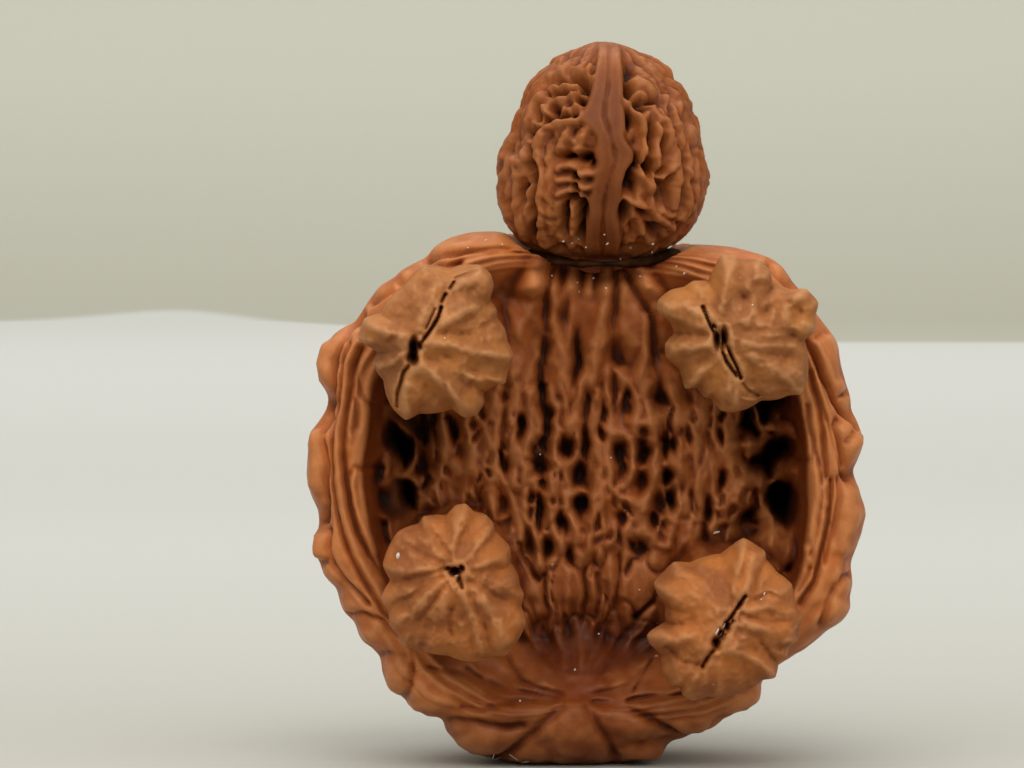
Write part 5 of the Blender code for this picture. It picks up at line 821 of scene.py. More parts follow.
def skin_group():
    """Walnut skin: ridges lighter than hollows, hollows darkened with dirt and painted shade, cloudy
    stains, fine wrinkles and stray specks.
    """
    group = bpy.data.node_groups.new("walnut skin", "ShaderNodeTree")
    for name, kind, value in [
        ("Ridge", "NodeSocketColor", (0.30, 0.13, 0.055, 1)),
        ("Face", "NodeSocketColor", (0.20, 0.075, 0.03, 1)),
        ("Warm", "NodeSocketColor", (0.30, 0.10, 0.03, 1)),
        ("Hollow", "NodeSocketColor", (0.016, 0.006, 0.003, 1)),
        ("Fine Lift", "NodeSocketFloat", 0.0),
        ("Mid Lift", "NodeSocketFloat", 0.0),
        ("Broad Lift", "NodeSocketFloat", 0.0),
        ("Dark Part", "NodeSocketFloat", 0.0),
        ("Hollow Reach", "NodeSocketFloat", 1.0),
        ("Wrinkle Size", "NodeSocketFloat", 1.0),
        ("Roughness", "NodeSocketFloat", 0.45),
        ("Specks", "NodeSocketFloat", 0.0),
    ]:
        socket = group.interface.new_socket(name, in_out="INPUT", socket_type=kind)
        socket.default_value = value
    group.interface.new_socket("Color", in_out="OUTPUT", socket_type="NodeSocketColor")
    group.interface.new_socket("Roughness", in_out="OUTPUT", socket_type="NodeSocketFloat")
    group.interface.new_socket("Height", in_out="OUTPUT", socket_type="NodeSocketFloat")
    given = group.nodes.new("NodeGroupInput")
    result = group.nodes.new("NodeGroupOutput")
    place = group.nodes.new("ShaderNodeTexCoord")

    def noise_node(scale, detail, roughness, distortion=0.0):
        node = group.nodes.new("ShaderNodeTexNoise")
        node.inputs["Scale"].default_value = scale
        node.inputs["Detail"].default_value = detail
        node.inputs["Roughness"].default_value = roughness
        node.inputs["Distortion"].default_value = distortion
        link(group, place.outputs["Object"], node.inputs["Vector"])
        return node.outputs["Fac"]

    def math_node(operation, a, b=0.0, c=None):
        node = group.nodes.new("ShaderNodeMath")
        node.operation = operation
        for i, value in enumerate((a, b, c)):
            if value is None:
                continue
            if isinstance(value, (int, float)):
                node.inputs[i].default_value = value
            else:
                link(group, value, node.inputs[i])
        return node.outputs[0]

    def range_node(value, low, high, to_low=0.0, to_high=1.0):
        node = group.nodes.new("ShaderNodeMapRange")
        node.interpolation_type = "SMOOTHSTEP"
        link(group, value, node.inputs["Value"])
        for name, number in zip(("From Min", "From Max", "To Min", "To Max"), (low, high, to_low, to_high)):
            node.inputs[name].default_value = number
        return node.outputs["Result"]

    def mix_node(factor, a, b, blend="MIX"):
        node = group.nodes.new("ShaderNodeMix")
        node.data_type = "RGBA"
        node.blend_type = blend
        for socket, value in ((node.inputs[0], factor), (node.inputs[6], a), (node.inputs[7], b)):
            if isinstance(value, (int, float, tuple)):
                socket.default_value = value
            else:
                link(group, value, socket)
        return node.outputs[2]

    def tint_node(factor, base, tint):
        return mix_node(factor, base, mix_node(1.0, base, tint, "MULTIPLY"))

    cloud = noise_node(230.0, 4.0, 0.55, 0.4)
    patch = noise_node(560.0, 3.0, 0.5, 0.2)
    grain = noise_node(2600.0, 4.0, 0.6)
    wrinkle = noise_node(1500.0, 5.0, 0.65, 0.6)

    # Lifted parts are rubbed lighter; sunk parts and creases are darkened both by the dark wax and dust of
    # years and by painted shade.
    lifted = math_node("MULTIPLY", given.outputs["Fine Lift"], 2.0)
    lifted = math_node("ADD", given.outputs["Mid Lift"], lifted)
    ridge = range_node(lifted, -0.02, 0.30)
    sunk = math_node("MULTIPLY", given.outputs["Mid Lift"], 1.6)
    sunk = math_node("ADD", given.outputs["Broad Lift"], sunk)
    sunk = math_node("MULTIPLY", sunk, given.outputs["Hollow Reach"])
    hollow = range_node(sunk, -2.8, -0.7, 1.0, 0.0)
    dust_and_shade = range_node(sunk, -1.5, -0.1, 0.75, 0.0)
    crease = range_node(lifted, -0.6, -0.02, 0.75, 0.0)
    colour = mix_node(range_node(cloud, 0.38, 0.66), given.outputs["Face"], given.outputs["Warm"])
    colour = mix_node(math_node("MULTIPLY", ridge, 0.8), colour, given.outputs["Ridge"])
    colour = tint_node(range_node(patch, 0.35, 0.7, 0.0, 0.3), colour, (0.62, 0.5, 0.46, 1))
    # Painted shade: Dark Part darkens the body's recess, flange wall, neck, funnel and base star; on the
    # head it darkens the suture band.
    recess = math_node("MULTIPLY", given.outputs["Dark Part"], range_node(cloud, 0.25, 0.7, 0.55, 0.95))
    colour = tint_node(recess, colour, (0.385, 0.272, 0.195, 1))
    colour = tint_node(crease, colour, (0.40, 0.27, 0.20, 1))
    colour = tint_node(dust_and_shade, colour, (0.25, 0.15, 0.095, 1))
    colour = mix_node(hollow, colour, given.outputs["Hollow"])
    colour = tint_node(range_node(grain, 0.3, 0.75, 0.0, 0.22), colour, (0.66, 0.58, 0.52, 1))
    speck = group.nodes.new("ShaderNodeTexVoronoi")
    speck.inputs["Scale"].default_value = 420.0
    link(group, place.outputs["Object"], speck.inputs["Vector"])
    spot = range_node(speck.outputs["Distance"], 0.03, 0.07, 1.0, 0.0)
    few = group.nodes.new("ShaderNodeSeparateColor")
    link(group, speck.outputs["Color"], few.inputs[0])
    rare = range_node(few.outputs[0], 0.86, 0.90)
    spot = math_node("MULTIPLY", math_node("MULTIPLY", spot, rare), given.outputs["Specks"])
    colour = mix_node(spot, colour, (0.72, 0.62, 0.52, 1))
    link(group, colour, result.inputs["Color"])

    rough = math_node("ADD", given.outputs["Roughness"], range_node(patch, 0.3, 0.7, -0.07, 0.09))
    rough = math_node("SUBTRACT", rough, math_node("MULTIPLY", ridge, 0.05))
    rough = math_node("ADD", rough, math_node("MULTIPLY", hollow, 0.2))
    link(group, rough, result.inputs["Roughness"])
    height = math_node("MULTIPLY", wrinkle, given.outputs["Wrinkle Size"])
    height = math_node("ADD", height, math_node("MULTIPLY", grain, 0.25))
    link(group, height, result.inputs["Height"])
    return group


def walnut_skin(name, values, subsurface, coat, bump):
    finish = bpy.data.materials.new(name)
    finish.use_nodes = True
    tree = finish.node_tree
    shader = tree.nodes["Principled BSDF"]
    skin = tree.nodes.new("ShaderNodeGroup")
    skin.node_tree = SKIN
    for socket, value in values.items():
        skin.inputs[socket].default_value = value
    for attribute, socket in (
        ("lift_fine", "Fine Lift"),
        ("lift_mid", "Mid Lift"),
        ("lift_broad", "Broad Lift"),
        ("dark_part", "Dark Part"),
    ):
        read = tree.nodes.new("ShaderNodeAttribute")
        read.attribute_name = attribute
        link(tree, read.outputs["Fac"], skin.inputs[socket])
    link(tree, skin.outputs["Color"], shader.inputs["Base Color"])
    link(tree, skin.outputs["Roughness"], shader.inputs["Roughness"])
    raise_node = tree.nodes.new("ShaderNodeBump")
    raise_node.inputs["Distance"].default_value = bump
    raise_node.inputs["Strength"].default_value = 0.6
    link(tree, skin.outputs["Height"], raise_node.inputs["Height"])
    link(tree, raise_node.outputs["Normal"], shader.inputs["Normal"])
    shader.inputs["Subsurface Weight"].default_value = subsurface
    shader.inputs["Subsurface Radius"].default_value = (0.0012, 0.0005, 0.00025)
    shader.inputs["Subsurface Scale"].default_value = 1.0
    shader.inputs["Coat Weight"].default_value = coat
    shader.inputs["Coat Roughness"].default_value = 0.35
    shader.inputs["Specular IOR Level"].default_value = 0.12
    return finish


SKIN = skin_group()
body = walnut_mesh("body_walnut_skin", 62, 1, BODY_LIFT_ROUNDS, body_points)
note_recess(body.data)
body.data.materials.append(
    walnut_skin(
        "polished body walnut",
        {
            "Ridge": (0.48, 0.180, 0.058, 1),
            "Face": (0.36, 0.110, 0.031, 1),
            "Warm": (0.425, 0.121, 0.027, 1),
            "Hollow": (0.012, 0.004, 0.002, 1),
            "Roughness": 0.46,
            "Specks": 0.5,
        },
        subsurface=0.06, coat=0.03, bump=0.00006,
    )
)
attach(body, "root")
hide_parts("body_walnut")


# Head walnut: a small egg-shaped hand walnut set base down on the top of the body, its smooth
# suture ridge to the front with deep pits on both sides and wavy folds round the flanks.
HEAD_DEPTH = 8.8
# Silhouette of the head.
HEAD_OUTLINE = [
    (708, 182), (707, 172), (704, 160), (701, 146), (699, 134), (696, 119), (690, 105), (682, 89),
    (674, 78), (664, 67), (655, 61), (645, 57), (636, 53), (629, 49), (622, 46), (608, 43), (592, 44),
    (583, 48), (570, 53), (556, 60), (547, 69), (536, 78), (526, 91), (520, 104), (514, 121),
    (511, 135), (505, 146), (500, 156), (498, 170), (498, 186), (500, 202), (505, 219), (513, 232),
    (525, 245), (545, 253), (566, 258), (608, 261), (652, 256), (670, 247), (684, 236), (694, 224),
    (701, 209), (706, 196),
]

# Suture ridge of the head: middle line and half width from top to bottom.
HEAD_SUTURE = [
    (52, 609, 11), (70, 608, 15), (90, 607, 16), (104, 604, 18), (117, 603, 22), (125, 606, 18),
    (135, 609, 14), (150, 613, 17), (160, 614, 19), (170, 610, 17), (184, 606, 16), (200, 603, 15.5),
    (217, 602, 15.5), (240, 602, 17),
]

# Ridges of the head's front: points, half width, height.
HEAD_RIDGES = [
    ([(590, 117), (566, 121), (549, 128), (539, 140), (533, 155), (536, 170), (541, 182), (538, 196),
      (541, 212), (539, 228), (547, 243)], 7, 1.0),
    ([(556, 128), (548, 150), (546, 180), (548, 210), (550, 230)], 6, 0.6),
    ([(570, 126), (562, 140), (558, 152)], 5, 0.6),
    ([(585, 126), (577, 138), (574, 148)], 6, 0.6),
    ([(597, 130), (598, 150)], 6, 0.4),
    ([(557, 168), (566, 166), (575, 165)], 4, 0.8),
    ([(557, 180), (566, 180), (573, 180)], 3.5, 0.7),
    ([(557, 193), (566, 192), (575, 190)], 4, 0.8),
    ([(578, 172), (585, 171), (592, 172)], 4, 0.9),
    ([(580, 184), (586, 186), (592, 184)], 4, 0.9),
    ([(580, 197), (588, 198)], 3.5, 0.8),
    ([(570, 206), (570, 218), (573, 230)], 4.5, 0.8),
    ([(557, 204), (557, 222)], 4.5, 0.5),
    ([(590, 66), (584, 73), (592, 78)], 4, 0.9),
    ([(582, 68), (566, 68), (550, 76)], 5, 0.5),
    ([(578, 83), (562, 84), (548, 86)], 4, 0.6),
    ([(582, 95), (565, 95), (551, 102), (545, 112)], 4.5, 0.8),
    ([(576, 104), (568, 108), (573, 113)], 4, 0.6),
    ([(562, 106), (556, 113)], 3.5, 0.5),
    ([(540, 92), (530, 108), (528, 126), (532, 136)], 5, 0.6),
    ([(541, 108), (537, 122), (528, 134)], 4, 0.5),
    ([(526, 140), (520, 150), (524, 158)], 4.5, 0.6),
    ([(516, 160), (514, 180), (516, 204), (524, 228), (532, 242)], 5, 0.9),
    ([(504, 158), (503, 182), (505, 205), (514, 228)], 5, 0.7),
    ([(524, 192), (526, 212), (530, 226)], 4, 0.6),
    ([(625, 99), (630, 108), (640, 119), (646, 135), (645, 150), (641, 158)], 5, 1.0),
    ([(632, 76), (642, 82), (652, 92)], 6, 0.6),
    ([(626, 94), (640, 93), (652, 104), (660, 120)], 5, 0.7),
    ([(648, 112), (655, 128), (657, 148), (656, 164)], 5, 0.7),
    ([(640, 172), (650, 183), (656, 196), (652, 206)], 5, 0.9),
    ([(624, 198), (640, 204), (656, 214), (672, 228)], 5, 0.8),
    ([(662, 180), (668, 172), (674, 164)], 4, 0.8),
    ([(668, 96), (676, 120), (684, 142), (690, 165), (690, 190), (684, 220)], 5, 0.7),
    ([(660, 110), (668, 132), (676, 152), (678, 180), (674, 206)], 5, 0.7),
    ([(682, 104), (691, 130), (697, 158), (699, 186), (694, 212)], 5, 0.6),
    ([(658, 206), (668, 214), (680, 216)], 4.5, 0.5),
    ([(634, 216), (640, 230), (652, 242)], 6, 0.5),
    ([(556, 236), (570, 244), (586, 246)], 6, 0.4),
]

# Pits of the head's front: middle, half sizes, depth.
HEAD_PITS = [
    (583, 156, 8, 5, 2.4), (592, 162, 4, 5, 1.4), (566, 156, 8, 4, 1.3), (575, 176, 3, 4, 1.6),
    (576, 188, 3, 4, 1.8), (573, 200, 7, 4, 1.8), (583, 208, 6, 8, 2.6), (580, 234, 5, 7, 2.0),
    (563, 214, 4, 9, 1.2), (580, 220, 4, 6, 1.2), (592, 190, 3, 4, 1.0), (580, 77, 7, 4, 1.9),
    (560, 78, 10, 3, 0.9), (584, 86, 4, 6, 1.8), (562, 90, 12, 3, 1.1), (580, 98, 4, 4, 1.8),
    (551, 108, 5, 5, 1.3), (560, 116, 8, 3, 1.3), (545, 120, 5, 4, 1.0), (575, 115, 4, 3, 1.0),
    (536, 113, 3, 7, 0.9), (531, 132, 5, 5, 1.2), (531, 180, 5, 16, 2.0), (528, 162, 4, 12, 1.4),
    (533, 207, 4, 12, 2.0), (520, 196, 3, 14, 1.0), (509, 176, 3, 20, 1.0), (533, 230, 4, 10, 1.4),
    (627, 87, 5, 9, 1.9), (630, 67, 7, 10, 0.9), (627, 119, 4, 7, 1.8), (640, 108, 7, 5, 1.3),
    (650, 135, 4, 16, 1.4), (649, 167, 5, 9, 2.0), (629, 177, 5, 11, 2.4), (636, 162, 4, 6, 1.3),
    (661, 192, 5, 11, 2.8), (623, 212, 5, 10, 2.6), (645, 100, 9, 3, 0.9), (633, 186, 4, 8, 1.2),
    (657, 231, 7, 6, 1.4), (662, 170, 4, 6, 1.0), (668, 190, 4, 14, 1.0), (684, 180, 2.5, 26, 0.8),
    (672, 112, 2.5, 18, 0.7), (664, 150, 3, 12, 0.7), (693, 170, 2, 22, 0.6), (634, 228, 6, 8, 0.9),
    (685, 120, 2.5, 18, 0.6), (646, 214, 6, 4, 0.8), (608, 252, 40, 5, 0.6),
]


HEAD_RADIUS = ring(HEAD_OUTLINE, HEAD_MIDDLE, 3.0)


def head_points(way):
    polar = np.arccos(np.clip(-way[:, 1], -1.0, 1.0))
    turn = np.arctan2(way[:, 2], way[:, 0])
    outline = HEAD_RADIUS(np.degrees(turn))
    middle_x = to_x(HEAD_MIDDLE[0])
    middle_z = to_z(HEAD_MIDDLE[1])
    x = middle_x + outline * np.sin(polar) * np.cos(turn)
    z = middle_z + outline * np.sin(polar) * np.sin(turn)
    y = HEAD_Y - HEAD_DEPTH * np.cos(polar)
    front = smooth(0.1, 0.45, np.cos(polar))
    edge = smooth(0.0, 0.5, np.abs(np.cos(polar)))

    # Suture ridge with its fine groove, at the front and at the back.
    rows = np.array(HEAD_SUTURE, float)
    levels = to_z(rows[::-1, 0])
    line = np.interp(z, levels, to_x(rows[::-1, 1]))
    half = np.interp(z, levels, rows[::-1, 2] / SKETCH)
    away = np.abs(x - line) + 0.12 * noise(x * 0.0, z / 1.1, x * 0.0, 51)
    ridge = 1.0 - smooth(half * 0.8, half * 1.25, away)
    groove = np.exp(-((away / 0.16) ** 2))

    # Wavy folds running up and down both flanks and the back.
    lon = np.arctan2(x - middle_x, -(y - HEAD_Y))
    wave = noise(x / 3.0, y / 3.0, z / 3.0, 52)
    fine = noise(x / 1.2, y / 1.2, z / 1.2, 53)
    u = lon * 20.0 / (2.0 * math.pi) + 0.3 * wave + 0.1 * fine
    v = z / 4.2 + 0.4 * wave + 0.15 * fine
    first, second, draw = cells(u, v, 54, 20)
    furrow = 1.0 - smooth(0.0, 0.45, second - first)
    folds = 0.7 * (0.45 - furrow) + 0.25 * (draw - 0.5) + 0.1 * fine
    drawn_x, drawn_z = wander(x, z, 0.16, 85)
    beads = 0.2 * noise(x / 0.8, y / 0.8, z / 0.8, 55) + 0.1 * noise(x / 0.35, y / 0.35, z / 0.35, 56)
    drawn = 1.1 * raised(drawn_x, drawn_z, HEAD_RIDGES, 2.6) - 0.5
    drawn -= 1.15 * blobs(drawn_x, drawn_z, HEAD_PITS, 1.3)
    flank = folds * (1.0 - 0.55 * front) + drawn * front
    crown = 1.0 - 0.6 * smooth(to_z(62), to_z(46), z)
    foot = smooth(to_z(262), to_z(240), z)
    relief = flank * (1.0 - ridge) + 0.4 * ridge - 0.28 * groove * ridge
    relief = (relief + beads * (1.0 - ridge)) * crown * (0.2 + 0.8 * foot) * (0.55 + 0.45 * edge)
    x = x + relief * np.sin(polar) * np.cos(turn)
    y = y - relief * np.cos(polar)
    z = z + relief * np.sin(polar) * np.sin(turn)
    z = np.maximum(z, HEAD_SEAT_Z)
    return np.stack([x, y, z], axis=1)


head = walnut_mesh("head_walnut_skin", 84, 0, LIFT_ROUNDS, head_points)
spots = np.empty(len(head.data.vertices) * 3)
head.data.vertices.foreach_get("co", spots)
x, y, z = spots.reshape(-1, 3).T * 1000.0
rows = np.array(HEAD_SUTURE, float)
line = np.interp(z, to_z(rows[::-1, 0]), to_x(rows[::-1, 1]))
half = np.interp(z, to_z(rows[::-1, 0]), rows[::-1, 2] / SKETCH)
band = 1.0 - smooth(half * 0.8, half * 1.4, np.abs(x - line))
band *= smooth(1.5, -2.5, y) * smooth(64.5, 60.0, z)
kept = head.data.attributes.new("dark_part", "FLOAT", "POINT")
kept.data.foreach_set("value", (0.8 * band).astype(np.float32))
head.data.materials.append(
    walnut_skin(
        "polished head walnut",
        {
            "Ridge": (0.33, 0.115, 0.034, 1),
            "Face": (0.215, 0.060, 0.0155, 1),
            "Warm": (0.26, 0.070, 0.0140, 1),
            "Hollow": (0.014, 0.005, 0.003, 1),
            "Hollow Reach": 1.6,
            "Roughness": 0.46,
            "Specks": 0.5,
        },
        subsurface=0.06, coat=0.03, bump=0.00005,
    )
)
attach(head, "root")
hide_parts("head_walnut")


# Glue: the head sits in a squeezed-out collar of clear glue and each foot on a lumpy pad of it,
# gone dark brown over the walnut that it wets, with a dull shine. Its near-black colour is partly
# painted shade of the shadowed joints: the neck under the head and the gaps behind the feet.
glue = bpy.data.materials.new("dark glue")
glue.use_nodes = True
tree = glue.node_tree
shader = tree.nodes["Principled BSDF"]
place = tree.nodes.new("ShaderNodeTexCoord")
murk = tree.nodes.new("ShaderNodeTexNoise")
murk.inputs["Scale"].default_value = 700.0
murk.inputs["Detail"].default_value = 4.0
link(tree, place.outputs["Object"], murk.inputs["Vector"])
# Dark brown glue, made darker still as painted shade of the shadowed joints.
glue_tone_and_shade = tree.nodes.new("ShaderNodeValToRGB")
glue_tone_and_shade.color_ramp.elements[0].position = 0.35
glue_tone_and_shade.color_ramp.elements[0].color = (0.012, 0.0048, 0.0022, 1)
glue_tone_and_shade.color_ramp.elements[1].position = 0.72
glue_tone_and_shade.color_ramp.elements[1].color = (0.052, 0.019, 0.0072, 1)
link(tree, murk.outputs["Fac"], glue_tone_and_shade.inputs[0])
link(tree, glue_tone_and_shade.outputs[0], shader.inputs["Base Color"])
ripple = tree.nodes.new("ShaderNodeBump")
ripple.inputs["Distance"].default_value = 0.0001
ripple.inputs["Strength"].default_value = 0.5
link(tree, murk.outputs["Fac"], ripple.inputs["Height"])
link(tree, ripple.outputs["Normal"], shader.inputs["Normal"])
shader.inputs["Roughness"].default_value = 0.7
shader.inputs["Specular IOR Level"].default_value = 0.01


def glue_ring(name, radius, thick, place):
    """A ring of glue whose points are set by place, from the way round and the spot in its round."""
    bpy.ops.object.select_all(action="DESELECT")
    bpy.ops.mesh.primitive_torus_add(
        major_radius=radius, minor_radius=thick, major_segments=144, minor_segments=24,
    )
    ring_piece = bpy.context.object
    ring_piece.name = name
    spots = np.empty(len(ring_piece.data.vertices) * 3)
    ring_piece.data.vertices.foreach_get("co", spots)
    x, y, z = spots.reshape(-1, 3).T
    turn = np.arctan2(y, x)
    lump = noise(3.0 * np.cos(turn), 3.0 * np.sin(turn), turn * 0.0, len(name))
    spots = place(turn, np.hypot(x, y) - radius, z, lump)
    ring_piece.data.vertices.foreach_set("co", (np.stack(spots, axis=1) * 0.001).ravel())
    bpy.ops.object.shade_smooth()
    ring_piece.data.materials.append(glue)
    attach(ring_piece, "root")


def collar_spots(turn, out, up, lump):
    side = smooth(-0.85, 0.0, np.sin(turn))
    reach = 4.0 + 2.5 * side + out + 0.25 * lump
    x = to_x(HEAD_MIDDLE[0]) + reach * np.cos(turn)
    y = HEAD_Y - REST_Y + reach * np.sin(turn)
    return x, y, 45.0 + 0.6 * side + up * (0.6 + 0.3 * lump)


glue_ring("glue_collar", 5.0, 0.7, collar_spots)
for name, (u, v, seat) in FOOT_SEATS.items():

    def pad_spots(turn, out, up, lump):
        reach = FOOT_SEAT_RADIUS - 0.3 + out + 0.35 * lump
        x = to_x(u) + reach * np.cos(turn)
        z = to_z(v) + reach * np.sin(turn)
        return x, seat - REST_Y - 0.15 - up, z

    glue_ring(name.replace("foot", "glue"), 4.0, 0.45, pad_spots)


